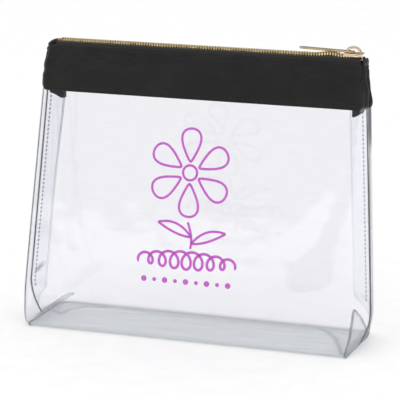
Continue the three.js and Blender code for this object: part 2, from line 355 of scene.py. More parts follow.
@dataclass(frozen=True)
class Thread(Finish):
    """Twisted sewing thread, whose plies show as fine slanting bands."""

    name: str
    colour: str
    shade: str
    roughness: float = 0.6
    ply_mm: float = 0.35

    def surface(self, tree: bpy.types.NodeTree, place: bpy.types.NodeSocket) -> bpy.types.NodeSocket:
        """Band the thread's colour by its plies.

        Args:
            tree: the material's node tree.
            place: the surface point in metres.

        Returns:
            The socket with the finished shader.
        """
        plies = add_node(
            tree,
            "TexWave",
            {"Vector": place, "Scale": WAVE_LENGTH / (self.ply_mm * MM), "Distortion": 1.0},
            bands_direction="DIAGONAL",
        )
        stops = [(0.2, self.shade), (0.7, self.colour)]
        colour = add_node(tree, "ValToRGB", {"Fac": plies.outputs["Fac"]}, stops).outputs["Color"]
        relief = add_node(
            tree, "Bump", {"Height": plies.outputs["Fac"], "Strength": 0.4, "Distance": 0.05 * MM}
        )
        return add_node(
            tree,
            "BsdfPrincipled",
            {
                "Base Color": colour,
                "Roughness": self.roughness,
                "IOR": 1.5,
                "Normal": relief.outputs["Normal"],
            },
        ).outputs[0]


@dataclass(frozen=True)
class SatinCloth(Finish):
    """Nylon satin, woven with long floats and dyed black.

    The floats give it a soft sheen that runs along the weft. Its threads are about 0.15 mm apart,
    too fine to show, so they are drawn 0.6 mm apart.
    """

    name: str = "satin_cloth"
    colour: str = "#151414"
    light: str = "#242223"
    roughness: float = 0.46
    thread_mm: float = 0.6
    float_mm: float = 5.0
    blotch_mm: float = 22.2  # size of the dye's slow unevenness

    def surface(self, tree: bpy.types.NodeTree, place: bpy.types.NodeSocket) -> bpy.types.NodeSocket:
        """Draw the floats and the slow unevenness of the dye, with a sheen over them.

        Args:
            tree: the material's node tree.
            place: the surface point in metres.

        Returns:
            The socket with the finished shader.
        """
        across = 1 / (self.thread_mm * MM)
        along = 1 / (self.float_mm * MM)
        stretched = add_node(tree, "Mapping", {"Vector": place, "Scale": (along, along, across)})
        floats = add_node(
            tree, "TexNoise", {"Vector": stretched.outputs[0], "Scale": 1.0, "Detail": 2.0}
        ).outputs["Fac"]
        broad = 1 / (self.blotch_mm * MM)
        slow = add_node(tree, "TexNoise", {"Vector": place, "Scale": broad, "Detail": 3.0}).outputs["Fac"]
        both = add_node(tree, "Math", {0: floats, 1: slow}, operation="MULTIPLY").outputs[0]
        stops = [(0.1, self.colour), (0.45, self.light)]
        colour = add_node(tree, "ValToRGB", {"Fac": both}, stops).outputs["Color"]
        relief = add_node(tree, "Bump", {"Height": floats, "Strength": 0.5, "Distance": 0.12 * MM})
        return add_node(
            tree,
            "BsdfPrincipled",
            {
                "Base Color": colour,
                "Roughness": self.roughness,
                "IOR": 1.53,
                "Specular IOR Level": 0.22,
                "Sheen Weight": 0.02,
                "Sheen Roughness": 0.4,
                "Normal": relief.outputs["Normal"],
            },
        ).outputs[0]


@dataclass(frozen=True)
class WovenTape(Finish):
    """Polyester zip tape, woven in a herringbone with ribs about 0.8 mm wide, and matt."""

    name: str = "woven_tape"
    colour: str = "#1b1a1b"
    light: str = "#2e2c2d"
    rib_mm: float = 0.8

    def surface(self, tree: bpy.types.NodeTree, place: bpy.types.NodeSocket) -> bpy.types.NodeSocket:
        """Draw the ribs of the weave.

        Args:
            tree: the material's node tree.
            place: the surface point in metres.

        Returns:
            The socket with the finished shader.
        """
        ribs = add_node(
            tree,
            "TexWave",
            {
                "Vector": place,
                "Scale": WAVE_LENGTH / (self.rib_mm * MM),
                "Distortion": 2.0,
                "Detail": 1.0,
            },
            bands_direction="DIAGONAL",
        ).outputs["Fac"]
        stops = [(0.1, self.colour), (0.9, self.light)]
        colour = add_node(tree, "ValToRGB", {"Fac": ribs}, stops).outputs["Color"]
        relief = add_node(tree, "Bump", {"Height": ribs, "Strength": 0.6, "Distance": 0.15 * MM})
        return add_node(
            tree,
            "BsdfPrincipled",
            {
                "Base Color": colour,
                "Roughness": 0.85,
                "IOR": 1.5,
                "Sheen Weight": 0.04,
                "Normal": relief.outputs["Normal"],
            },
        ).outputs[0]


@dataclass(frozen=True)
class GoldPlate(Finish):
    """Brass or zinc with a thin bright gold plating, tumbled smooth before it was plated.

    Tumbling leaves shallow dimples, so the highlights are broken, and handling leaves finger marks
    that dull it here and there.
    """

    name: str
    colour: str
    worn: str
    roughness: float = 0.24
    dimple_mm: float = 1.2
    mark_mm: float = 4.55  # size of the finger marks

    def surface(self, tree: bpy.types.NodeTree, place: bpy.types.NodeSocket) -> bpy.types.NodeSocket:
        """Vary the plating's colour, gloss and flatness.

        Args:
            tree: the material's node tree.
            place: the surface point in metres.

        Returns:
            The socket with the finished shader.
        """
        coarse = 1 / (self.mark_mm * MM)
        marks = add_node(tree, "TexNoise", {"Vector": place, "Scale": coarse, "Detail": 4.0}).outputs["Fac"]
        dimples = add_node(
            tree, "TexNoise", {"Vector": place, "Scale": 1 / (self.dimple_mm * MM), "Detail": 1.0}
        ).outputs["Fac"]
        stops = [(0.3, self.worn), (0.6, self.colour)]
        colour = add_node(tree, "ValToRGB", {"Fac": marks}, stops).outputs["Color"]
        gloss = add_node(
            tree,
            "MapRange",
            {
                "Value": marks,
                "From Min": 0.3,
                "From Max": 0.7,
                "To Min": self.roughness + 0.1,
                "To Max": self.roughness - 0.06,
            },
        ).outputs[0]
        relief = add_node(tree, "Bump", {"Height": dimples, "Strength": 0.25, "Distance": 0.08 * MM})
        return add_node(
            tree,
            "BsdfPrincipled",
            {
                "Base Color": colour,
                "Metallic": 1.0,
                "Roughness": gloss,
                "Normal": relief.outputs["Normal"],
            },
        ).outputs[0]


@dataclass(frozen=True)
class ScreenInk(Finish):
    """Magenta ink screen-printed on the vinyl: nearly opaque, satin, a little thin in places."""

    name: str = "screen_ink"
    colour: str = "#bb50bd"
    thin: str = "#c468c6"
    mesh_mm: float = 1.11  # the screen's mesh, drawn coarser than a real one so that it shows

    def surface(self, tree: bpy.types.NodeTree, place: bpy.types.NodeSocket) -> bpy.types.NodeSocket:
        """Vary the ink's depth as the screen's mesh leaves it.

        Args:
            tree: the material's node tree.
            place: the surface point in metres.

        Returns:
            The socket with the finished shader.
        """
        mesh = 1 / (self.mesh_mm * MM)
        depth = add_node(tree, "TexNoise", {"Vector": place, "Scale": mesh, "Detail": 2.0}).outputs["Fac"]
        stops = [(0.35, self.thin), (0.6, self.colour)]
        colour = add_node(tree, "ValToRGB", {"Fac": depth}, stops).outputs["Color"]
        relief = add_node(tree, "Bump", {"Height": depth, "Strength": 0.15, "Distance": 0.03 * MM})
        return add_node(
            tree,
            "BsdfPrincipled",
            {"Base Color": colour, "Roughness": 0.4, "IOR": 1.48, "Normal": relief.outputs["Normal"]},
        ).outputs[0]


@dataclass(frozen=True)
class StudioPaper(Finish):
    """A white paper sweep, matt and faintly fibrous."""

    name: str = "studio_paper"
    colour: str = "#fbfbfb"
    shade: str = "#f7f7f7"
    fibre_mm: float = 16.7  # drawn as soft clouds, as single fibres are too fine to show

    def surface(self, tree: bpy.types.NodeTree, place: bpy.types.NodeSocket) -> bpy.types.NodeSocket:
        """Draw the paper's faint fibres.

        Args:
            tree: the material's node tree.
            place: the surface point in metres.

        Returns:
            The socket with the finished shader.
        """
        cloud = 1 / (self.fibre_mm * MM)
        fibres = add_node(tree, "TexNoise", {"Vector": place, "Scale": cloud, "Detail": 3.0}).outputs["Fac"]
        stops = [(0.3, self.shade), (0.7, self.colour)]
        colour = add_node(tree, "ValToRGB", {"Fac": fibres}, stops).outputs["Color"]
        return add_node(
            tree, "BsdfPrincipled", {"Base Color": colour, "Roughness": 0.9, "Specular IOR Level": 0.0}
        ).outputs[0]


CLEAR_SHEET = ClearVinyl()
# The base and corner flaps take their own greys for the painted shade, and more haze
CLEAR_BASE = ClearVinyl(name="vinyl_base", tint="#fcfdfd", body="#4c555a", haze=0.01, turned=0.3)
CLEAR_FLAP = ClearVinyl(name="vinyl_flap", body="#46524f", haze=0.006, turned=0.22)
# The cut faces: a deeper tint, and a quarter of the grey all over as painted shade, so they show as dark
# lines
CUT_EDGE = ClearVinyl(name="vinyl_cut_edge", tint="#eef2f5", haze=0.25, turned=0.3)
NYLON = Thread("nylon_thread", "#bfc3ca", "#868b95")
BLACK_THREAD = Thread("polyester_thread", "#1d1b1c", "#0d0c0d")
SATIN = SatinCloth()
TAPE = WovenTape()
GOLD_TEETH = GoldPlate("gold_teeth", "#f3e0ac", "#cdb27a")
GOLD_SLIDER = GoldPlate("gold_slider", "#f4dfc0", "#dcbd96", roughness=0.2)
GOLD_PULL = GoldPlate("gold_pull", "#d3b88a", "#a88d62", roughness=0.28)
INK = ScreenInk()
PAPER = StudioPaper()


# ------------------------------------------------------------------ mesh making


class Piece:
    """Collects the faces of one piece in millimetres and makes its object."""

    def __init__(self) -> None:
        """Start with no faces."""
        self.mesh = bmesh.new()
        self.fold = self.mesh.verts.layers.float.new(FOLD_SHADE_LAYER)

    def points(self, places: Iterable[Vector]) -> list[bmesh.types.BMVert]:
        """Add points, and return them in order."""
        return [self.mesh.verts.new(place) for place in places]

    def face(self, corners: Sequence[bmesh.types.BMVert], finish: int = 0) -> None:
        """Add a face, unless two of its corners are one.

        Args:
            corners: its corners, in order.
            finish: the number of its finish.
        """
        if len(set(corners)) == len(corners) > 2:
            made = self.mesh.faces.new(corners)
            made.material_index = finish

    def slab(
        self,
        outer: Grid,
        inner: Grid,
        folds: FoldShadeGrid | None = None,
        rims: dict[Rim, int] | None = None,
        closed: bool = False,
    ) -> None:
        """Add a thick sheet between two grids of the same shape.

        Args:
            outer: rows of points on one surface.
            inner: rows of points on the other.
            folds: each point's painted shade along folds.
            rims: the finish of each rim that isn't the first finish.
            closed: whether each row runs round to its own start.
        """
        values = folds or [[0.0] * len(outer[0]) for _ in outer]
        layers = []
        for grid in (outer, inner):
            rows = []
            for row, row_values in zip(grid, values):
                verts = self.points(row)
                for vert, value in zip(verts, row_values):
                    vert[self.fold] = value
                rows.append(verts)
            layers.append(rows)
        top, under = layers
        rows, columns = len(top), len(top[0])
        around = columns if closed else columns - 1
        for i in range(rows - 1):
            for j in range(around):
                k = (j + 1) % columns
                self.face([top[i][j], top[i][k], top[i + 1][k], top[i + 1][j]])
                self.face([under[i][j], under[i + 1][j], under[i + 1][k], under[i][k]])
        finishes = rims or {}
        for i, rim in ((0, Rim.FIRST), (rows - 1, Rim.LAST)):
            for j in range(around):
                k = (j + 1) % columns
                self.face([top[i][j], top[i][k], under[i][k], under[i][j]], finishes.get(rim, 0))
        if closed:
            return
        for j, rim in ((0, Rim.START), (columns - 1, Rim.END)):
            for i in range(rows - 1):
                corners = [top[i][j], under[i][j], under[i + 1][j], top[i + 1][j]]
                self.face(corners, finishes.get(rim, 0))

    def loft(self, rings: Grid) -> None:
        """Add a closed solid through rings of points, with a face over each end.

        Args:
            rings: rings with the same number of points.
        """
        rows = [self.points(ring) for ring in rings]
        count = len(rows[0])
        for lower, upper in zip(rows, rows[1:]):
            for j in range(count):
                k = (j + 1) % count
                self.face([lower[j], lower[k], upper[k], upper[j]])
        self.face(rows[0])
        self.face(rows[-1])

    def build(self, name: str, *finishes: Finish) -> bpy.types.Object:
        """Make the piece's object.

        Args:
            name: the object's name.
            *finishes: its finishes, in the order that the faces number them.

        Returns:
            The object, in metres.
        """
        bmesh.ops.remove_doubles(self.mesh, verts=self.mesh.verts, dist=1e-4)
        bmesh.ops.recalc_face_normals(self.mesh, faces=self.mesh.faces)
        bmesh.ops.scale(self.mesh, vec=(MM, MM, MM), verts=self.mesh.verts)
        data = bpy.data.meshes.new(name)
        self.mesh.to_mesh(data)
        self.mesh.free()
        piece = bpy.data.objects.new(name, data)
        bpy.context.scene.collection.objects.link(piece)
        for finish in finishes:
            data.materials.append(finish.material())
        data.shade_smooth()
        data.set_sharp_from_angle(angle=SHARP_ANGLE)
        log.info("%s: %d faces", name, len(data.polygons))
        return piece


def capsule_rings(start: Vector, end: Vector, radius: float, up: Vector) -> Grid:
    """Return the rings of a stitch: a short bar with round ends.

    Args:
        start: one end.
        end: the other end.
        radius: half its width.
        up: the direction that it stands off the cloth.

    Returns:
        Rings of points from one end to the other.
    """
    along = (end - start).normalized()
    across = along.cross(up).normalized()
    rise = across.cross(along)
    length = (end - start).length
    sides = 6
    rings = []
    for place, size in ((0.0, 0.3), (0.12, 0.8), (0.3, 1.0), (0.7, 1.0), (0.88, 0.8), (1.0, 0.3)):
        centre = start + along * length * place
        ring = []
        for k in range(sides):
            angle = 2 * math.pi * k / sides
            side = across * (math.cos(angle) * radius * size)
            ring.append(centre + side + rise * (math.sin(angle) * radius * size))
        rings.append(ring)
    return rings


# ------------------------------------------------------------------ the bag's form


@cache
def box_mm(name: str) -> tuple[Vector, Vector]:
    """Return a frame node's lowest and highest corners in millimetres."""
    low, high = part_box(name)
    return Vector(low) / MM, Vector(high) / MM


@dataclass(frozen=True)
class BagForm:
    """The bag's outer form: where its walls, corner folds and side seams run."""

    base_half_width: float
    base_half_depth: float
    sheet: float
    height: float
    mouth_left: float
    mouth_right: float
    mouth_half_depth: float
    seam_reach: float  # how far a side seam stands out from the middle at its widest
    side_top: float
    band_foot: float
    left_hold: float  # left of this the two walls never part
    right_hold: float
    bulge_height: float = 25.0
    clearance: float = 0.3
    left_swell: float = 3.4  # how far the soft corner folds stand out past straight lines
    right_swell: float = 1.2
    swell_foot: float = 12.0
    wall_bow: float = 1.6
    left_foot_round: float = 3.6  # how far the left corners are rounded in at the base
    foot_round_height: float = 8.0
    dent_x: float = 90.0  # a slanting dent low on the right of both walls
    dent_z: float = 76.0
    dent_depth: float = 1.3
    dent_width: float = 8.0
    dent_height: float = 30.0
    swelling_x: float = 86.0  # the sheet pushed out again under the dent
    swelling_z: float = 40.0
    swelling_out: float = 1.2
    swelling_size: float = 13.0
    sink: float = 3.2  # how far the mouth's corners sink
    sink_start: float = 9.0  # how far before its end the mouth starts to sink
    sink_run: float = 11.0
    sink_fade: float = 22.0  # the height over which the sinking fades downwards

    @classmethod
    def from_frame(cls, joints: Sequence[dict]) -> BagForm:
        """Read the form from the frame's boxes.

        Args:
            joints: the record's joints, of which the slider's gives how far it runs.

        Returns:
            The bag's form.
        """
        base_low, base_high = box_mm("base_panel")
        band_low, band_high = box_mm("front_band")
        left_low, _ = box_mm("left_zip_end_tab")
        _, right_high = box_mm("right_zip_end_tab")
        side_low, side_high = box_mm("left_side_front")
        _, panel_high = box_mm("front_panel")
        slider_low, slider_high = box_mm("slider_body")
        run = next(j["range_m"][0] for j in joints if j["name"] == "slider_slide") / MM
        return cls(
            base_half_width=base_high.x,
            base_half_depth=base_high.y,
            sheet=base_high.z - base_low.z,
            height=left_low.z,
            mouth_left=left_low.x,
            mouth_right=right_high.x,
            mouth_half_depth=-band_high.y - cls.clearance,
            seam_reach=-side_low.x,
            side_top=side_high.z,
            band_foot=band_low.z,
            left_hold=slider_high.x + run,
            right_hold=slider_low.x - 1.0,
        )

    def half_depth(self, z: float) -> float:
        """Return half the bag's depth at a height."""
        return lerp(self.base_half_depth, self.mouth_half_depth, z / self.height)

    def straight_fold_x(self, side: Side, z: float) -> float:
        """Return where a corner fold would be at a height if it ran straight."""
        mouth = self.mouth_left if side is Side.LEFT else self.mouth_right
        return lerp(side.value * self.base_half_width, mouth, z / self.height)

    def fold_x(self, side: Side, z: float) -> float:
        """Return where a soft corner fold is.

        Args:
            side: the corner's side.
            z: the height.

        Returns:
            Its place across the bag.
        """
        swell = self.left_swell if side is Side.LEFT else self.right_swell
        rise = 1 - math.exp(-max(z, 0) / self.swell_foot)
        fall = clamp(1 - z / self.side_top)
        out = swell * rise * fall - self.foot_round(side, z)
        return self.straight_fold_x(side, z) + side.value * out

    def foot_round(self, side: Side, z: float) -> float:
        """Return how far a soft corner is rounded in at a height above the base."""
        fade = clamp(1 - z / self.foot_round_height) ** 3
        return self.left_foot_round * fade if side is Side.LEFT else 0.0

    def seam_x(self, side: Side, z: float) -> float:
        """Return where a side seam is, rounded where it is widest.

        Args:
            side: the seam's side.
            z: the height.

        Returns:
            Its place across the bag.
        """
        widest = side.value * self.seam_reach
        foot = side.value * self.base_half_width
        top = self.straight_fold_x(side, self.side_top) + side.value
        if z < self.bulge_height:
            return lerp(foot, widest, math.sin(math.pi / 2 * clamp(z / self.bulge_height)) ** 0.8)
        above = (z - self.bulge_height) / (self.side_top - self.bulge_height)
        return lerp(widest, top, clamp(above, 0.0, 1.05))

    def bow(self, x: float, z: float) -> float:
        """Return how far a wall stands out from flat at a point on it.

        Args:
            x: the place across the bag.
            z: the height.

        Returns:
            The distance: an even bow with a slanting dent and a swelling under it on the right.
        """
        along = clamp((x - self.mouth_left) / (self.mouth_right - self.mouth_left))
        even = self.wall_bow * math.sin(math.pi * along) * math.sin(math.pi * clamp(z / self.band_foot))
        # The dent leans over to the right as it rises
        from_dent = (x - self.dent_x) * 0.93 - (z - self.dent_z) * 0.37
        dent = self.dent_depth * bump(from_dent, 0, self.dent_width)
        dent *= bump(z, self.dent_z, self.dent_height)
        swelling = self.swelling_out * bump(x, self.swelling_x, self.swelling_size)
        return even - dent + swelling * bump(z, self.swelling_z, self.swelling_size)

    def end_drop(self, x: float, z: float) -> float:
        """Return how far the mouth sinks at a point near one of its ends.

        Args:
            x: the place across the bag.
            z: the height.

        Returns:
            The distance, which fades down the band.
        """
        end = -self.mouth_left if x < 0 else self.mouth_right
        near_end = smooth((abs(x) - end + self.sink_start) / self.sink_run)
        return self.sink * near_end * smooth((z - self.height + self.sink_fade) / self.sink_fade)

    def on_wall(self, face: Face, x: float, z: float, out: float) -> Vector:
        """Return a point on a wall.

        Args:
            face: the front or the back wall.
            x: its place across the bag.
            z: its height.
            out: how far it stands off the sheet.

        Returns:
            The point.
        """
        return Vector((x, face.value * (self.half_depth(z) + self.bow(x, z) + out), z))

    def blend_wall(self, piece: bpy.types.Object, side: Side, face: Face) -> None:
        """Bake a half wall's piece into its place.

        Args:
            piece: the piece, a mesh.
            side: not used.
            face: not used.
        """
        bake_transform(piece)


@dataclass(frozen=True)
class Wrap:
    """How a sheet runs round half of the bag: along a wall, round the corner, to the seam."""

    form: BagForm
    side: Side
    face: Face
    corner_radius: float
    corner_line_shade: float  # how dark the corner's painted shade line is, 0 to 1
    side_bow: float = 1.5
    roll: float = 0.8  # radius of the turn at the side seam
    least_depth: float = 0.05  # the nearest that it comes to the bag's middle plane
    wall_columns: int = 26
    corner_columns: int = 10
    side_columns: int = 9
    roll_columns: int = 7

    def section(self, z: float) -> Section:
        """Return the sheet's outer line at a height.

        Args:
            z: the height.

        Returns:
            Points from the middle of the wall to the seam.
        """
        form, side, face = self.form, self.side.value, self.face.value
        corner = Vector((form.fold_x(self.side, z), face * form.half_depth(z)))
        seam_x = form.seam_x(self.side, z)
        roll_centre = Vector((seam_x - side * self.roll, face * self.roll))
        reach = roll_centre - corner
        tilt = math.atan2(side * reach.x, -face * reach.y)
        roll_start = roll_centre + self.roll * Vector((side * math.cos(tilt), face * math.sin(tilt)))
        along_side = (roll_start - corner).normalized()
        radius = min(self.corner_radius, (roll_start - corner).length * 0.45)
        arc_start = corner - Vector((side * radius, 0))
        arc_end = corner + along_side * radius

        points: Section = []
        for i in range(self.wall_columns):
            # Columns are closer together near the corner
            share = 1 - (1 - i / self.wall_columns) ** 1.4
            x = arc_start.x * share
            points.append((x, face * (form.half_depth(z) + form.bow(x, z)), 0.0))
        # The corner is painted with shade, darkest half way round
        for i in range(self.corner_columns):
            t = i / self.corner_columns
            place = bezier(arc_start, corner, arc_end, t)
            points.append((place.x, place.y, self.corner_line_shade * math.sin(math.pi * t) ** 2))
        outward = Vector((side * abs(along_side.y), face * abs(along_side.x)))
        for i in range(self.side_columns):
            t = i / self.side_columns
            place = arc_end.lerp(roll_start, t) + outward * (self.side_bow * math.sin(math.pi * t))
            points.append((place.x, place.y, 0.0))
        # The turn into the seam is painted with shade, darkest from half way round to the seam
        for i in range(self.roll_columns):
            t = i / (self.roll_columns - 1)
            angle = lerp(tilt, -math.pi / 2, t)
            place = roll_centre + self.roll * Vector((side * math.cos(angle), face * math.sin(angle)))
            points.append((place.x, place.y, smooth(2 * t)))
        return points

    def offset(self, section: Section, distance: Callable[[float], float] | float) -> Section:
        """Move a section outwards.

        Args:
            section: the points.
            distance: how far, or a function of a point's x.

        Returns:
            The moved points, which stay on their own side of the bag's middle plane.
        """
        turn = -self.side.value * self.face.value
        moved: Section = []
        for i, (x, y, fold) in enumerate(section):
            before, after = section[max(i - 1, 0)], section[min(i + 1, len(section) - 1)]
            tangent = Vector((after[0] - before[0], after[1] - before[1])).normalized()
            if i == 0:
                tangent = Vector((self.side.value, 0))
            out = distance(x) if callable(distance) else distance
            normal = Vector((tangent.y, -tangent.x)) * turn
            place = Vector((x, y)) + normal * out
            if self.face.value * place.y < self.least_depth:
                place.y = self.face.value * self.least_depth
            moved.append((place.x, place.y, fold))
        return moved


def raise_section(section: Section, z: float) -> list[Vector]:
    """Return a section's points at a height."""
    return [Vector((x, y, z)) for x, y, _ in section]


def both_sides() -> list[tuple[Side, Face]]:
    """Return every pair of a side and a face."""
    return [(side, face) for face in Face for side in Side]


# ------------------------------------------------------------------ the clear sheet


@dataclass(frozen=True)
class ClearBody:
    """The clear vinyl: two walls with their turned-in side seams, the base and the boxed corners."""

    form: BagForm
    foot: float = 1.2  # where a wall's sheet leaves the base's rounded edge
    crisp_radius: float = 1.3
    soft_radius: float = 13.0
    foot_shade_height: float = 1.4  # height over which the painted shade line above the base fades
    base_grid: float = 1.6  # distance between the base's points
    edge_radius: float = 1.0  # of the base's long edges, turned up into the walls
    # how dark the painted shade on the gathers under the band is
    pleat_shade_strength: float = 0.75
    pleat_height: float = 32.0  # how far below the side's top the painted shade of the gathers starts
    pleat_run: float = 18.0
    crease_height: float = 1.3
    crease_width: float = 2.4
    waviness: float = 0.4
    corner_plan: float = 7.0  # how far the rounding of the left corners runs back
    corner_run: float = 12.0
    creases: tuple[Path, ...] = (
        ((68.0, 31.5), (78.0, 28.5), (88.0, 20.5), (97.0, 8.0), (106.0, -12.5), (112.5, -31.0)),
        ((-45.0, 30.0), (-75.0, 27.0), (-92.0, 22.5), (-99.0, 11.5), (-101.0, -0.5), (-109.0, 5.0)),
    )

    def corner_style(self, side: Side, face: Face) -> tuple[float, float]:
        """Return how a corner is folded: the front right and rear left are soft.

        Args:
            side: the corner's side.
            face: the wall.

        Returns:
            Its radius and how dark its painted shade line is.
        """
        if side.value != face.value:
            return self.soft_radius, 0.0
        return self.crisp_radius, 1.0

    def pleat_shade(self, side: Side, face: Face, z: float) -> float:
        """Return the painted shade that stands in for the sheet's gathers under the band: only on the
        right, at the rear.

        Args:
            side: the half.
            face: the wall.
            z: the height.

        Returns:
            The painted shade there.
        """
        if side is Side.RIGHT and face is Face.BACK:
            return self.pleat_shade_strength * smooth((z - self.form.side_top + self.pleat_height) / self.pleat_run)
        return 0.0

    def foot_shade_line(self, face: Face) -> float:
        """Return how dark the painted shade line along the fold between a wall and the base is."""
        return 0.08 if face is Face.FRONT else 0.3

    def heights(self) -> list[float]:
        """Return the heights of the sheet's rows, closer together near the base."""
        low = [self.foot + step for step in (0.0, 0.8, 1.8, 3.5, 6, 9, 12, 15, 18, 21, 24, 27, 31)]
        return low + spread(self.foot + 36, self.form.side_top + 2.5, 6.0)

    def wall(self, side: Side, face: Face) -> None:
        """Build half of a wall with its half of the side.

        Args:
            side: the half.
            face: the wall.
        """
        radius, corner_shade = self.corner_style(side, face)
        wrap = Wrap(self.form, side, face, radius, corner_shade)
        outer, inner, folds = [], [], []
        for z in self.heights():
            section = wrap.section(z)
            outer.append(raise_section(section, z))
            inner.append(raise_section(wrap.offset(section, -self.form.sheet), z))
            # Painted shade: along the fold above the base, on the gathers at the right rear, and at the
            # corners and seam turn
            base_shade = self.foot_shade_line(face) * bump(z, self.foot, self.foot_shade_height)
            pleat_shade = self.pleat_shade(side, face, z)
            corner = abs(self.form.fold_x(side, z))
            row = [max(fold, base_shade, pleat_shade if abs(x) > corner else 0.0) for x, _, fold in section]
            folds.append(row)
        piece = Piece()
        piece.slab(outer, inner, folds)
        made = piece.build(f"clear_{word(face)}_{word(side)}", CLEAR_SHEET)
        self.form.blend_wall(made, side, face)
        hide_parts(f"{word(face)}_panel", f"{word(side)}_side_{word(face)}")

    def base(self) -> None:
        """Build the base, with its two long edges turned up into the walls."""
        form = self.form
        thick = form.sheet
        edge = self.edge_radius
        reach = form.half_depth(self.foot)
        profile = []  # y and z across the base's underside
        for i in range(5):
            angle = math.pi / 2 * i / 4
            y = -(reach - edge + edge * math.cos(angle))
            profile.append((y, self.foot - self.foot * math.sin(angle)))
        flat = [(y, 0.0) for y in spread(-reach + edge + 0.8, reach - edge - 0.8, self.base_grid)]
        profile = profile + flat + [(-y, z) for y, z in reversed(profile)]
        outer, inner, folds = [], [], []
        end = form.base_half_width
        for x in [-end] + spread(-end + 1.0, end - 1.0, self.base_grid) + [end]:
            end_shade = 0.5 * bump(abs(x), end, 0.6)
            under, above, row = [], [], []
            for y, z in profile:
                place = Vector((x, y))
                near = min(distance_to_path(place, path) for path in self.creases)
                inside = smooth((reach - 2 - abs(y)) / 4) * smooth((end - 1 - abs(x)) / 3)
                wave = self.waviness * max(ripple(x * 0.25, y * 1.6, 0.0, 9.0), 0)
                lift = inside * (self.crease_height * bump(near, 0, self.crease_width) + wave)
                lining_y = y * (1 - thick / reach) if z > 0.01 else y
                shift = 0.0
                if x < 0:
                    # The left corners are rounded in plan
                    near_edge = smooth((abs(y) - reach + self.corner_plan) / self.corner_plan)
                    near_end = smooth((-x - end + self.corner_run) / self.corner_run)
                    shift = form.foot_round(Side.LEFT, z) * (near_edge * near_end)
                under.append(Vector((x + shift, y, z + lift)))
                above.append(Vector((x + shift, lining_y, (z if z > 0.6 else z + thick) + lift)))
                # Painted shade along the folds into the walls, at the base's ends and along its creases
                line = self.foot_shade_line(Face.FRONT if y < 0 else Face.BACK)
                crease = 0.3 * inside * bump(near, 0, 0.8)
                row.append(max(line * bump(abs(y), reach, 1.2), end_shade, crease))
            outer.append(under)
            inner.append(above)
            folds.append(row)
        piece = Piece()
        piece.slab(outer, inner, folds, {Rim.FIRST: 1, Rim.LAST: 1})
        made = piece.build("clear_base", CLEAR_BASE, CUT_EDGE)
        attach(made, "bag_base")
        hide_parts("base_panel")

    def build(self) -> None:
        """Build every part of the clear sheet."""
        for side, face in both_sides():
            self.wall(side, face)
        self.base()


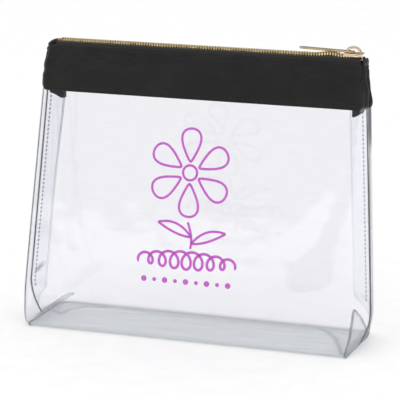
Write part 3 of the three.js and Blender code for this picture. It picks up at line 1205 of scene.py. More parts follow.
@dataclass(frozen=True)
class SideSeam:
    """The two turned-in layers of a side seam, with the stitching that holds them."""

    form: BagForm
    side: Side
    width: float = 11.0
    top_width: float = 1.6  # how much wider it is at the band
    widen_z: float = 90.0  # the height where it starts to widen
    widen_run: float = 70.0
    show_z: float = 60.0  # the height where the raw edge's painted shade starts to darken
    show_run: float = 90.0
    seam_edge_shade: float = 1.0  # how dark the painted shade line on its raw edge is
    start: float = 0.9  # from the seam's outer line
    layer: float = 0.45
    gap: float = 0.12  # between the bag's middle plane and a layer
    fan: float = 0.7  # how far the raw edges stand apart
    corner: float = 7.0  # rounding of the lower end
    foot_drop: float = 0.0  # how much lower the end is at the seam than at the raw edge
    edge_drop: float = 0.0  # how far the raw edge's end lies below the frame's strip
    crease_z: float = 32.0  # where a painted shade line crosses the strip, for its crease as the seam turns in
    stitch_inset: float = 3.4
    stitch_length: float = 1.9
    stitch_pitch: float = 3.0
    stitch_radius: float = 0.3

    def foot(self, share: float) -> float:
        """Return the height of the lower end, which slants up over the corner flap.

        Args:
            share: the place across the allowance, 0 at the seam and 1 at the raw edge.

        Returns:
            The height there.
        """
        low, _ = box_mm(f"{word(self.side)}_side_seam")
        return low.z - self.edge_drop - self.foot_drop * (1 - share) ** 1.3

    def layers(self) -> None:
        """Build both layers as one piece, which opens a little towards its raw edges."""
        side, form = self.side.value, self.form
        piece = Piece()
        shares = [0.0, 0.04, 0.12, 0.3, 0.5, 0.7, 0.88, 0.97, 1.0]
        top = form.side_top + 1.5
        for face in Face:
            outer, inner, folds = [], [], []
            for step in spread(0, 1, 0.022):
                rows: list[list[Vector]] = [[], []]
                row_folds = []
                for share in shares:
                    z = lerp(self.foot(share), top, step)
                    low = clamp((z - self.foot(1.0)) / self.corner)
                    reach = self.width * (0.45 + 0.55 * math.sin(math.pi / 2 * low))
                    reach += self.top_width * smooth((z - self.widen_z) / self.widen_run)
                    wavy = 1 + 0.5 * ripple(3.0 * side, face.value, z, 23.0)
                    x = form.seam_x(self.side, z) - side * (self.start + reach * share)
                    for row, depth in zip(rows, (0.0, self.layer)):
                        y = self.gap + self.fan * share**2 * wavy + depth
                        row.append(Vector((x, face.value * y, z)))
                    # Painted shade along the raw edge, darker higher up, and across the strip at its crease
                    raw_edge_shade = lerp(0.1, 0.45, smooth((z - self.show_z) / self.show_run))
                    edge = self.seam_edge_shade * raw_edge_shade * bump(share, 1.0, 0.03)
                    crease = 0.35 * self.seam_edge_shade * bump(z, self.crease_z + 4.0 * share, 0.9)
                    row_folds.append(max(edge, crease))
                outer.append(rows[0])
                inner.append(rows[1])
                folds.append(row_folds)
            piece.slab(outer, inner, folds, {Rim.END: 1, Rim.FIRST: 1})
        made = piece.build(f"{word(self.side)}_seam_allowance", CLEAR_SHEET, CUT_EDGE)
        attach(made, "bag_base")
        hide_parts(f"{word(self.side)}_side_seam")

    def stitching(self) -> None:
        """Build the stitches on both faces of the allowance."""
        form, side = self.form, self.side.value
        piece = Piece()
        low, high = box_mm(f"{word(self.side)}_side_stitching")
        for z in spread(low.z, high.z, self.stitch_pitch):
            ends = []
            for height in (z - self.stitch_length / 2, z + self.stitch_length / 2):
                ends.append((form.seam_x(self.side, height) - side * self.stitch_inset, height))
            for face in Face:
                y = face.value * (self.gap + self.layer + 0.5 * self.stitch_radius)
                start, end = (Vector((x, y, height)) for x, height in ends)
                piece.loft(capsule_rings(start, end, self.stitch_radius, Vector((0, face.value, 0))))
        made = piece.build(f"{word(self.side)}_seam_stitches", NYLON)
        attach(made, "bag_base")
        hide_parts(f"{word(self.side)}_side_stitching")

    def build(self) -> None:
        """Build the seam's layers and stitches."""
        self.layers()
        self.stitching()


@dataclass(frozen=True)
class CornerFlap:
    """The triangle left inside when a corner is boxed: the folded sheet, sewn across its root."""

    form: BagForm
    side: Side
    tilt: float  # degrees up from the base
    reach: float
    flap_edge_shade: float  # how dark the painted shade on its edges and tip is
    root_trim: float = 1.2  # how much narrower than the base it is at its root, at each end
    root_gap: float = 1.1  # thickness at the root, where it is sewn
    belly: float = 3.0  # thickness where the fold stays open
    crumple: float = 0.7
    tip_round: float = 0.16  # share of the reach over which the tip rounds off
    stitch_inset: float = 3.0
    stitch_length: float = 1.9
    stitch_pitch: float = 3.0
    stitch_radius: float = 0.28
    root_lift: float = 0.9  # how far its root lies above the base's foot and inside its end
    sag: float = 1.2

    def axes(self) -> tuple[Vector, Vector, Vector]:
        """Return how the flap lies.

        Returns:
            Its root point, its direction towards the tip and its upper side's normal.
        """
        side = self.side.value
        angle = math.radians(self.tilt)
        inset = self.root_lift + self.root_gap * math.sin(angle)
        root = Vector((side * (self.form.base_half_width - inset), 0, self.root_lift))
        along = Vector((-side * math.cos(angle), 0, math.sin(angle)))
        up = Vector((side * math.sin(angle), 0, math.cos(angle)))
        return root, along, up

    def half_width(self, t: float) -> float:
        """Return half the flap's width, which rounds off at its tip.

        Args:
            t: share of the way to the tip.

        Returns:
            Half the width.
        """
        full = self.form.base_half_depth - self.root_trim
        taper = 1 - t * 0.94
        if t > 1 - self.tip_round:
            taper *= math.sqrt(clamp(1 - ((t - 1 + self.tip_round) / self.tip_round) ** 2, 0.02))
        return full * taper

    def thickness(self, t: float) -> float:
        """Return the flap's thickness, which grows from its sewn root and closes at its tip.

        Args:
            t: share of the way to the tip.

        Returns:
            The thickness.
        """
        grown = lerp(self.root_gap, self.belly, smooth(t * 2.2))
        if t > 1 - self.tip_round:
            grown *= math.sqrt(clamp(1 - ((t - 1 + self.tip_round) / self.tip_round) ** 2, 0.08))
        return grown

    def ring(self, t: float, shrink: float) -> list[Vector]:
        """Return the flap's outline across its length.

        Args:
            t: share of the way to the tip.
            shrink: how far the outline is inside the outer one.

        Returns:
            Points round a flat shape with round ends.
        """
        root, along, up = self.axes()
        depth = max(self.thickness(t) - 2 * shrink, 0.12) / 2
        half = max(self.half_width(t) - shrink, depth + 0.1)
        sag = self.sag * math.sin(math.pi * t)
        centre = root + along * (self.reach * t) + up * (self.root_gap / 2 + sag)
        straight = half - depth
        points = []
        for k in range(24):
            angle = 2 * math.pi * (k + 0.5) / 24
            y = straight * (1 if math.cos(angle) > 0 else -1) + depth * math.cos(angle)
            lift = self.crumple * ripple(self.reach * t, y, 4.0 * self.side.value, 7.0)
            rise = depth * math.sin(angle) + lift * 4 * t * (1 - t)
            points.append(centre + Vector((0, y, 0)) + up * rise)
        return points

    def build(self) -> None:
        """Build the flap and its stitches."""
        shares = [0, 0.05, 0.12, 0.2, 0.3, 0.42, 0.54, 0.66, 0.76, 0.84, 0.89, 0.93, 0.96, 0.98, 0.992]
        outer = [self.ring(t, 0.0) for t in shares]
        inner = [self.ring(t, self.form.sheet) for t in shares]
        # Painted shade along the flap's edges and over its tip
        folds = []
        for ring, t in zip(outer, shares):
            edge = max(abs(point.y) for point in ring)
            tip = self.flap_edge_shade * smooth((t - 0.93) / 0.05)
            folds.append([max(tip, self.flap_edge_shade * bump(abs(point.y), edge, 0.35)) for point in ring])
        piece = Piece()
        piece.slab(outer, inner, folds, {Rim.FIRST: 1}, closed=True)
        name = word(self.side)
        made = piece.build(f"{name}_boxed_corner", CLEAR_FLAP, CUT_EDGE)
        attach(made, "bag_base")
        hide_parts(f"{name}_corner_flap")

        root, along, up = self.axes()
        stitches = Piece()
        half = self.form.base_half_depth - 3 * self.stitch_inset
        for y in spread(-half, half, self.stitch_pitch):
            for out in (self.root_gap + 0.9, -0.1):
                centre = root + along * self.stitch_inset + up * out + Vector((0, y, 0))
                step = Vector((0, self.stitch_length / 2, 0))
                rings = capsule_rings(centre - step, centre + step, self.stitch_radius, up)
                stitches.loft(rings)
        sewn = stitches.build(f"{name}_corner_stitches", NYLON)
        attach(sewn, "bag_base")
        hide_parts(f"{name}_corner_stitching")


# ------------------------------------------------------------------ the band


@dataclass(frozen=True)
class Pinch:
    """How the sewing draws an end of the band in, towards the mouth and again at the hem."""

    mouth: float  # the distance at the mouth
    start_z: float  # the height where it starts
    run: float  # the height over which it grows
    hem: float  # the distance at the hem
    nick: float = 0.0  # depth of a small notch in the end
    nick_z: float = 176.0
    nick_height: float = 2.5


@dataclass(frozen=True)
class Band:
    """The satin band: folded under at its foot, over at the mouth, sewn and softly puckered."""

    form: BagForm
    cloth: float = 0.7
    outset: float = 1.0  # how far its face stands off the vinyl
    top_stitch_drop: float = 4.0
    hem_stitch_rise: float = 2.5
    side_gather: float = 3.2  # how far the ends stand out round the sides
    left_tail: float = 11.0  # how far the left tail stretches in from the band's end
    right_tail: float = 7.5
    tail_drop: float = 8.6
    tail_half_thick: float = 1.75  # its layers lie outside the clear seam allowance
    lip_drop: float = 1.3  # how far the folded edge lies below the zip's level
    lining_drop: float = 0.5  # how far the cloth's inner face stays below that level
    curl: float = 0.3  # the cloth's thickness where it curls under
    top_channel: float = 0.45  # how deep each line of stitches pulls the cloth in
    hem_channel: float = 0.3
    pucker: float = 0.16
    slow_fold: float = 0.32
    gather: float = 1.1  # height of the folds near the ends
    gather_start: float = 74.0
    gather_run: float = 34.0
    hem_height: float = 2.5
    draw_run: float = 30.0  # how far in from its end the band is drawn
    left_pinch: Pinch = Pinch(3.2, 174.0, 22.0, 1.8, nick=0.8)
    right_pinch: Pinch = Pinch(2.9, 164.0, 28.0, 1.2)
    stitch_pitch: float = 3.2
    stitch_length: float = 2.4
    stitch_radius: float = 0.22

    def relief(self, face: Face, x: float, z: float) -> float:
        """Return the cloth's relief at a point: stitched channels, puckers and slow folds.

        Args:
            face: the wall that it lies on.
            x: the place across the bag.
            z: the height.

        Returns:
            How far the cloth stands out from its even face.
        """
        form = self.form
        flat_middle = max(abs(x) - 2.0, 0.0) * (1 if x > 0 else -1)
        top_line = form.height - self.top_stitch_drop
        hem_line = form.band_foot + self.hem_stitch_rise
        channel = -self.top_channel * bump(z, top_line, 0.9) - self.hem_channel * bump(z, hem_line, 0.7)
        near_line = bump(z, top_line, 5.0) + bump(z, hem_line, 4.0)
        pucker = self.pucker * near_line * ripple(flat_middle, 9.0 * face.value, z / 3, 2.6)
        end = smooth((abs(x) - self.gather_start) / self.gather_run)
        slow = self.slow_fold * ripple(flat_middle, 31.0 * face.value, z * 0.6, 26.0)
        along = flat_middle * 0.5 + z * 0.6  # the folds slant
        gather = end * self.gather * ripple(along, 5.0 * face.value, z * 0.5, 8.0)
        return channel + pucker + slow + gather

    def pinch(self, side: Side, z: float) -> float:
        """Return how far the sewing draws an end of the band in at a height.

        Args:
            side: the end.
            z: the height.

        Returns:
            The distance, greatest at the mouth and again at the hem.
        """
        pinch = self.left_pinch if side is Side.LEFT else self.right_pinch
        mouth = pinch.mouth * smooth((z - pinch.start_z) / pinch.run)
        nick = pinch.nick * bump(z, pinch.nick_z, pinch.nick_height)
        hem = smooth((self.form.band_foot + self.hem_height - z) / self.hem_height)
        return mouth + nick + pinch.hem * hem

    def drawn_in(self, side: Side, section: Section, z: float) -> list[Vector]:
        """Return a row's points with the band's end drawn in.

        Args:
            side: the half of the band.
            section: the row.
            z: its height.

        Returns:
            The points.
        """
        pull = side.value * self.pinch(side, z)
        reach = max(abs(x) for x, _, _ in section)
        points = []
        for x, y, _ in section:
            x -= pull * smooth((abs(x) - reach + self.draw_run) / self.draw_run)
            points.append(Vector((x, y, z - self.form.end_drop(x, z))))
        return points

    def rows(self) -> list[tuple[float, float]]:
        """Return the rows of the band's cut, from inside the hem over to the mouth.

        Returns:
            Each row's height and how far it stands off the vinyl.
        """
        foot, top = self.form.band_foot, self.form.height - self.lip_drop
        hem = [(foot + 1.6, 0.25), (foot + 0.5, 0.2), (foot, 0.45), (foot + 0.15, 0.85)]
        face = [(z, self.outset) for z in spread(foot + 0.7, top - 1.6, 1.35)]
        lip = [(top - 0.9, 0.95), (top - 0.3, 0.8), (top + 0.1, 0.45)]
        lip += [(top + 0.25, 0.0), (top + 0.1, -0.4)]
        return hem + face + lip

    def half(self, side: Side, face: Face) -> None:
        """Build half of the band on one wall, with its half of the band's end.

        Args:
            side: the half.
            face: the wall.
        """
        form = self.form
        wrap = Wrap(
            form,
            side,
            face,
            corner_radius=3.0 if side is Side.LEFT else 6.5,
            corner_line_shade=0.0,
            side_bow=self.side_gather / 2,
            roll=0.6,
            wall_columns=74,
            side_columns=8,
            roll_columns=6,
        )
        outer, inner = [], []
        for z, outset in self.rows():
            section = wrap.section(z)
            full = smooth((outset - 0.2) / 0.5) * smooth((form.height - 0.4 - z) / 2.0)
            face_out = wrap.offset(section, lambda x: outset + full * self.relief(face, x, z))
            back_out = wrap.offset(section, outset - self.thin(outset))
            outer.append(self.drawn_in(side, face_out, z))
            inner.append(self.drawn_in(side, back_out, min(z, form.height - self.lining_drop)))
        piece = Piece()
        piece.slab(outer, inner)
        made = piece.build(f"band_{word(face)}_{word(side)}", SATIN)
        form.blend_wall(made, side, face)
        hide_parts(f"{word(face)}_band", f"{word(side)}_band_end")

    def thin(self, outset: float) -> float:
        """Return the cloth's thickness at a row, which thins where it curls under."""
        return self.cloth if outset > 0.7 else self.curl

    def facing(self, side: Side, face: Face) -> None:
        """Build half of the facing inside the band.

        Args:
            side: the half.
            face: the wall.
        """
        form = self.form
        low, high = box_mm(f"{word(face)}_band_facing")
        back = form.sheet + 2 * form.clearance
        end = form.mouth_left if side is Side.LEFT else form.mouth_right
        outer, inner = [], []
        for z in spread(low.z, high.z, 1.8):
            flat = []
            rear = []
            for share in spread(0, 1, 0.02):
                x = (end - side.value * 1.5) * share
                wave = 0.35 * ripple(max(abs(x) - 2, 0) * side.value, 17.0, z, 14.0) * smooth(share * 6)
                flat.append(form.on_wall(face, x, z, -back - 0.2 + wave * 0.5))
                rear.append(form.on_wall(face, x, z, -back - 0.7 + wave * 0.5))
            outer.append(flat)
            inner.append(rear)
        piece = Piece()
        piece.slab(outer, inner)
        made = piece.build(f"facing_{word(face)}_{word(side)}", SATIN)
        form.blend_wall(made, side, face)
        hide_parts(f"{word(face)}_band_facing")

    def stitch_line(self, side: Side, face: Face, height: float, label: str) -> None:
        """Build half of a line of stitches on the band.

        Args:
            side: the half.
            face: the wall.
            height: the line's height.
            label: the line's name.
        """
        form = self.form
        piece = Piece()
        pitch, length = self.stitch_pitch, self.stitch_length
        end = form.mouth_left if side is Side.LEFT else form.mouth_right
        for start in spread(0, abs(end) - 4, pitch)[:-1]:
            ends = []
            for run in (start + (pitch - length) / 2, start + (pitch + length) / 2):
                x = side.value * run
                out = self.outset + 0.12 + self.relief(face, x, height)
                ends.append(form.on_wall(face, x, height, out))
            off_cloth = Vector((0, face.value, 0))
            piece.loft(capsule_rings(ends[0], ends[1], self.stitch_radius, off_cloth))
        made = piece.build(f"{label}_stitches_{word(face)}_{word(side)}", BLACK_THREAD)
        form.blend_wall(made, side, face)
        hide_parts(f"{word(face)}_{label}_stitching")

    def tail(self, side: Side) -> None:
        """Build the band's turned-in end inside a side, which hangs below the hem.

        Args:
            side: the side.
        """
        form = self.form
        _, high = box_mm(f"{word(side)}_band_tail")
        piece = Piece()
        outer, inner = [], []
        near = form.straight_fold_x(side, form.band_foot) - side.value * 1.5
        tail_reach = self.left_tail if side is Side.LEFT else self.right_tail
        for step in spread(0, 1, 0.1):
            row, rear = [], []
            for share in spread(0, 1, 0.06):
                blunt = 1 - 0.15 * smooth((share - 0.8) / 0.2)
                drop = lerp(0.45, 1.0, share) * self.tail_drop * blunt
                ragged = 0.5 * ripple(share * 40, 2.0 * side.value, 0.0, 5.0)
                z = lerp(form.band_foot + 1.0 - drop + ragged * share, high.z, step)
                x = near - side.value * tail_reach * share
                sway = 0.3 * ripple(share * 9, 3.0 * side.value, z, 8.0)
                row.append(Vector((x, sway - self.tail_half_thick, z)))
                rear.append(Vector((x, sway + self.tail_half_thick, z)))
            outer.append(row)
            inner.append(rear)
        piece.slab(outer, inner)
        made = piece.build(f"{word(side)}_tail", SATIN)
        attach(made, "bag_base")
        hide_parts(f"{word(side)}_band_tail")

    def build(self) -> None:
        """Build the band, its facings, stitches and tails."""
        form = self.form
        for side, face in both_sides():
            self.half(side, face)
            self.facing(side, face)
            self.stitch_line(side, face, form.height - self.top_stitch_drop, "top")
            self.stitch_line(side, face, form.band_foot + self.hem_stitch_rise, "hem")
        for side in Side:
            self.tail(side)


# ------------------------------------------------------------------ the zip


@dataclass(frozen=True)
class Zip:
    """The zip: two tapes with their teeth, and the tabs over its ends."""

    form: BagForm
    pitch: float = 1.83
    clamp_width: float = 1.3  # along the zip, where a tooth is clamped on the tape
    head_width: float = 0.82
    tooth_reach: float = 0.95  # past the zip's centre line
    hump_height: float = 1.6  # the chain rises a little before it reaches the slider
    hump_from_slider: float = 9.0
    tape_thick: float = 0.5
    tape_drop: float = 0.5  # how far the tape lies below the middle of the teeth
    tape_fold: float = 0.6  # radius of its fold, outside the slider's shoulders
    tape_inset: float = 0.65  # how far the fold lies inside the wall
    tape_edge: float = 2.2  # from the zip's centre line to the tape's near edge
    cover_outset: float = 1.2  # how far an end's cover stands out past the frame's tab
    cover_drop: float = 3.4

    def level(self) -> float:
        """Return the height of the tape's middle."""
        low, high = box_mm("front_teeth")
        return (low.z + high.z) / 2

    def rise(self, x: float) -> float:
        """Return how far the chain stands above its level.

        Args:
            x: the place along it.

        Returns:
            The height, which is greatest a little before the slider.
        """
        slider_low, _ = box_mm("slider_body")
        before_slider = smooth((slider_low.x - 0.5 - x) / 5)
        return self.hump_height * bump(x, slider_low.x - self.hump_from_slider, 7.0) * before_slider

    def tooth_rings(self, x: float, face: Face) -> Grid:
        """Return the rings of one tooth, from its underside to its top.

        Args:
            x: its middle, along the zip.
            face: the tape that it is clamped on.

        Returns:
            Rings of points.
        """
        low, high = box_mm(f"{word(face)}_teeth")
        outer = max(abs(low.y), abs(high.y))
        clamp_half, head_half = self.clamp_width / 2, self.head_width / 2
        outline = [
            (-clamp_half, -outer + 0.25),
            (-clamp_half * 0.7, -outer),
            (clamp_half * 0.7, -outer),
            (clamp_half, -outer + 0.25),
            (clamp_half, -1.5),
            (head_half, -0.9),
            (head_half, self.tooth_reach - 0.3),
            (head_half * 0.5, self.tooth_reach),
            (-head_half * 0.5, self.tooth_reach),
            (-head_half, self.tooth_reach - 0.3),
            (-head_half, -0.9),
            (-clamp_half, -1.5),
        ]
        middle = self.level() + self.rise(x)
        tall = high.z - low.z
        rings = []
        rounded = ((-0.5, 0.72), (-0.42, 0.94), (-0.2, 1.0), (0.2, 1.0), (0.42, 0.94), (0.5, 0.72))
        for lift, size in rounded:
            ring = []
            for dx, dy in outline:
                # A head is lower than the clamp behind it
                head = smooth((dy + 1.5) / 1.0)
                z = middle + lift * tall * (1 - 0.18 * head)
                y = (dy + 1.0) * (0.9 + 0.1 * size) - 1.0
                ring.append(Vector((x + dx * size, -face.value * y, z)))
            rings.append(ring)
        return rings

    def teeth(self, face: Face) -> None:
        """Build both halves of a row of teeth.

        Args:
            face: the tape that they are clamped on.
        """
        low, high = box_mm(f"{word(face)}_teeth")
        shift = 0.0 if face is Face.FRONT else self.pitch / 2
        pieces = {side: Piece() for side in Side}
        count = int((high.x - low.x - self.pitch) / self.pitch)
        for i in range(count):
            x = low.x + self.pitch * (i + 0.5) + shift
            side = Side.LEFT if x < 0 else Side.RIGHT
            pieces[side].loft(self.tooth_rings(x, face))
        for side, piece in pieces.items():
            made = piece.build(f"teeth_{word(face)}_{word(side)}", GOLD_TEETH)
            self.form.blend_wall(made, side, face)
            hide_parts(f"{word(face)}_teeth")

    def tape(self, side: Side, face: Face) -> None:
        """Build half of a tape: level beside the teeth, then folded down inside the band.

        Args:
            side: the half.
            face: the wall that it is sewn to.
        """
        form = self.form
        low, high = box_mm(f"{word(face)}_zip_tape")
        level = self.level() - self.tape_drop
        fold_y = form.half_depth(level) - self.tape_inset
        profile = [(self.tape_edge, level), (3.4, level), (4.6, level)]
        for i in range(6):
            angle = math.pi / 2 * i / 5
            across = fold_y - self.tape_fold * (1 - math.sin(angle))
            profile.append((across, level - self.tape_fold * (1 - math.cos(angle))))
        for z in spread(low.z, level - 2.0, 2.0)[::-1]:
            profile.append((form.half_depth(z) - 0.6, z))
        end = low.x if side is Side.LEFT else high.x
        outer, inner = [], []
        for share in spread(0, 1, 1 / 48):
            x = end * share
            row, rear = [], []
            for i, (y, z) in enumerate(profile):
                before, after = profile[max(i - 1, 0)], profile[min(i + 1, len(profile) - 1)]
                tangent = Vector((after[0] - before[0], after[1] - before[1])).normalized()
                normal = Vector((-tangent.y, tangent.x)) * (self.tape_thick / 2)
                lift = self.rise(x) * clamp((fold_y - y) / (fold_y - self.tape_edge))
                row.append(Vector((x, face.value * (y - normal.x), z - normal.y + lift)))
                rear.append(Vector((x, face.value * (y + normal.x), z + normal.y + lift)))
            outer.append(row)
            inner.append(rear)
        piece = Piece()
        piece.slab(outer, inner)
        made = piece.build(f"tape_{word(face)}_{word(side)}", TAPE)
        form.blend_wall(made, side, face)
        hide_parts(f"{word(face)}_zip_tape")

    def end_tab(self, side: Side) -> None:
        """Build the folded cloth over an end of the zip.

        Args:
            side: the end.
        """
        low, high = box_mm(f"{word(side)}_zip_end_tab")
        piece = Piece()
        half = (high.y - low.y) / 2 + self.cover_outset
        top, foot = high.z - 0.2, low.z - self.cover_drop
        rings = []
        for x in spread(low.x + 0.2, high.x - 0.1, 0.8):
            share = (x - low.x) / (high.x - low.x)
            ends = math.sin(math.pi * clamp(share, 0.06, 0.94)) ** 0.35
            ring = []
            for k in range(20):
                angle = 2 * math.pi * k / 20
                y = half * ends * abs(math.cos(angle)) ** 0.6 * (1 if math.cos(angle) > 0 else -1)
                rise = abs(math.sin(angle)) ** 0.7 * (1 if math.sin(angle) > 0 else -1)
                crease = 0.12 * ripple(x * 2, y, 1.0, 2.4)
                z = (top + foot) / 2 + ends * ((top - foot) / 2) * rise + crease
                ring.append(Vector((x, y, z - 0.8 * self.form.end_drop(x, z))))
            rings.append(ring)
        piece.loft(rings)
        made = piece.build(f"{word(side)}_zip_cover", SATIN)
        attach(made, "bag_base")
        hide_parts(f"{word(side)}_zip_end_tab")

    def build(self) -> None:
        """Build the teeth, the tapes and the tabs."""
        for face in Face:
            self.teeth(face)
        for side, face in both_sides():
            self.tape(side, face)
        for side in Side:
            self.end_tab(side)


@dataclass(frozen=True)
class Slider:
    """The cast slider with its bridge, and the stamped pull that hangs on it."""

    plate: float = 0.9
    shoulder: float = 5.4
    tail: float = 4.2
    throat: float = 2.0
    corner: float = 1.8
    flange: float = 0.9
    bridge_half: float = 5.5
    bridge_height: float = 4.8
    bridge_bar: float = 1.7
    bridge_half_width: float = 1.4
    pull_thick: float = 1.0
    pull_arm: float = 1.0
    pull_lean: float = 0.03  # how much its tip stands up as it lies, as a slope
    rim_depth: float = 0.85
    divider: Path = ((1.6, 0.0), (3.6, -1.5), (5.9, -0.8), (5.9, 0.8), (3.6, 1.5))  # in plan

    def outline(self, half_length: float) -> list[tuple[float, float]]:
        """Return the slider's plan: narrow at its tail, wide at its shoulders.

        Args:
            half_length: half the slider's length.

        Returns:
            Points round the plan.
        """
        near = [(-half_length, self.tail - 1.0), (-half_length + 1.0, self.tail)]
        near.append((-self.throat, self.tail))
        far = [(self.throat, self.shoulder)]
        for i in range(5):
            angle = math.pi / 2 * (1 - i / 4)
            x = half_length - self.corner + self.corner * math.cos(angle)
            far.append((x, self.shoulder - self.corner + self.corner * math.sin(angle)))
        upper = near + far
        return upper + [(x, -y) for x, y in reversed(upper)]

    def body(self) -> None:
        """Build the two plates, their rims, the divider between them and the bridge."""
        low, high = box_mm("slider_body")
        centre_x = (low.x + high.x) / 2
        half_length = (high.x - low.x) / 2
        level = high.z - self.bridge_height - (high.z - low.z - self.bridge_height) / 2
        half_height = level - low.z
        plan = self.outline(half_length)
        piece = Piece()
        for sign in (1, -1):
            face = level + sign * half_height
            rings = []
            for inset, z in ((0.0, face - sign * self.plate), (0.0, face - sign * 0.3), (0.25, face)):
                ring = [
                    Vector((centre_x + x * (1 - inset / half_length), y * (1 - inset / self.shoulder), z))
                    for x, y in plan
                ]
                rings.append(ring)
            piece.loft(rings)
            self.rims(piece, centre_x, half_length, face - sign * self.plate, sign)
        divider = []
        for z in (level - half_height + self.plate / 2, level + half_height - self.plate / 2):
            divider.append([Vector((centre_x + x, y, z)) for x, y in self.divider])
        piece.loft(divider)
        self.bridge(piece, centre_x, level + half_height)
        made = piece.build("slider", GOLD_SLIDER)
        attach(made, "slider")
        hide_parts("slider_body")

    def rims(self, piece: Piece, centre_x: float, half_length: float, z: float, sign: int) -> None:
        """Add a plate's two turned-in rims.

        Args:
            piece: the slider's piece.
            centre_x: the slider's middle.
            half_length: half its length.
            z: the plate's inner face.
            sign: 1 for the upper plate, -1 for the lower.
        """
        runs = [(-half_length + 0.6, self.tail), (-self.throat, self.tail), (self.throat, self.shoulder)]
        runs.append((half_length - self.corner, self.shoulder))
        for side in (1, -1):
            rings = []
            for x, y in runs:
                outer, inner = side * (y - 0.05), side * (y - self.flange)
                root, edge = z + sign * 0.2, z - sign * self.rim_depth
                ring = [(outer, root), (inner, root), (inner, edge), (outer, edge)]
                rings.append([Vector((centre_x + x, across, height)) for across, height in ring])
            piece.loft(rings)

    def bridge(self, piece: Piece, centre_x: float, foot: float) -> None:
        """Add the arch that holds the pull.

        Args:
            piece: the slider's piece.
            centre_x: the arch's middle.
            foot: the upper plate's height.
        """
        rings = []
        radius_x = self.bridge_half - self.bridge_bar / 2
        radius_z = self.bridge_height - self.bridge_bar / 2
        for i in range(19):
            angle = math.pi * i / 18
            arch_z = foot + radius_z * math.sin(angle) - 0.1
            centre = Vector((centre_x - radius_x * math.cos(angle), 0, arch_z))
            outward = Vector((-math.cos(angle), 0, math.sin(angle)))
            ring = []
            for k in range(12):
                turn = 2 * math.pi * k / 12
                across = self.bridge_half_width * abs(math.cos(turn)) ** 0.7
                across *= 1 if math.cos(turn) > 0 else -1
                out = self.bridge_bar / 2 * abs(math.sin(turn)) ** 0.7
                out *= 1 if math.sin(turn) > 0 else -1
                ring.append(centre + Vector((0, across, 0)) + outward * out)
            rings.append(ring)
        piece.loft(rings)

    def pull(self) -> None:
        """Build the pull: a long flat tab with a window over the bridge."""
        low, high = box_mm("pull_tab")
        half = (high.y - low.y) / 2
        axis = high.x - self.pull_thick / 2
        hole = half - self.pull_arm
        window = axis - (self.bridge_half + self.pull_thick / 2 + 0.4)
        outer_loop = []
        inner_loop = []
        count = 40
        for k in range(count):
            angle = 2 * math.pi * k / count
            cosine, sine = math.cos(angle), math.sin(angle)
            outer_loop.append(self.stadium(cosine, sine, low.x, high.x, half, 0.7))
            inner_loop.append(self.stadium(cosine, sine, window, axis - 0.5, hole, 0.3))
        rings = []
        z0, z1 = low.z, high.z
        for loop, inset, z in (
            (outer_loop, 0.25, z0),
            (outer_loop, 0.0, z0 + 0.28),
            (outer_loop, 0.0, z1 - 0.28),
            (outer_loop, 0.25, z1),
            (inner_loop, -0.15, z1),
            (inner_loop, 0.0, z1 - 0.2),
            (inner_loop, 0.0, z0 + 0.2),
            (inner_loop, -0.15, z0),
        ):
            middle = Vector((sum(p[0] for p in loop) / count, 0, 0))
            ring = []
            for x, y in loop:
                spoke = Vector((x, y, 0)) - middle
                step_in = Vector((math.copysign(inset, spoke.x), math.copysign(inset, spoke.y), 0))
                shrunk = middle + spoke - step_in
                ring.append(Vector((shrunk.x, shrunk.y, z + self.pull_lean * (axis - shrunk.x))))
            rings.append(ring)
        piece = Piece()
        rows = [piece.points(ring) for ring in rings]
        for lower, upper in zip(rows, rows[1:] + rows[:1]):
            for j in range(count):
                k = (j + 1) % count
                piece.face([lower[j], lower[k], upper[k], upper[j]])
        made = piece.build("zip_pull", GOLD_PULL)
        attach(made, "pull")
        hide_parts("pull_tab")

    def stadium(
        self, cosine: float, sine: float, low: float, high: float, half: float, square: float
    ) -> tuple[float, float]:
        """Return a point on a long outline: round at its low end and squarer at its high end.

        Args:
            cosine: the point's direction.
            sine: the point's direction.
            low: the outline's low end.
            high: the outline's high end.
            half: half its width.
            square: how far the high end's corners are rounded.

        Returns:
            The point's x and y.
        """
        power = 1.0 if cosine < 0 else 0.35
        radius = half if cosine < 0 else square
        end = low + radius if cosine < 0 else high - radius
        x = end + radius * math.copysign(abs(cosine) ** power, cosine)
        return x, half * math.copysign(abs(sine) ** power, sine)

    def build(self) -> None:
        """Build the slider and its pull."""
        self.body()
        self.pull()


# ------------------------------------------------------------------ the print


@dataclass(frozen=True)
class Stroke:
    """A line of the print: its points on the wall's plane, its width and whether it closes."""

    points: list[Vector]
    width: float
    closed: bool = False


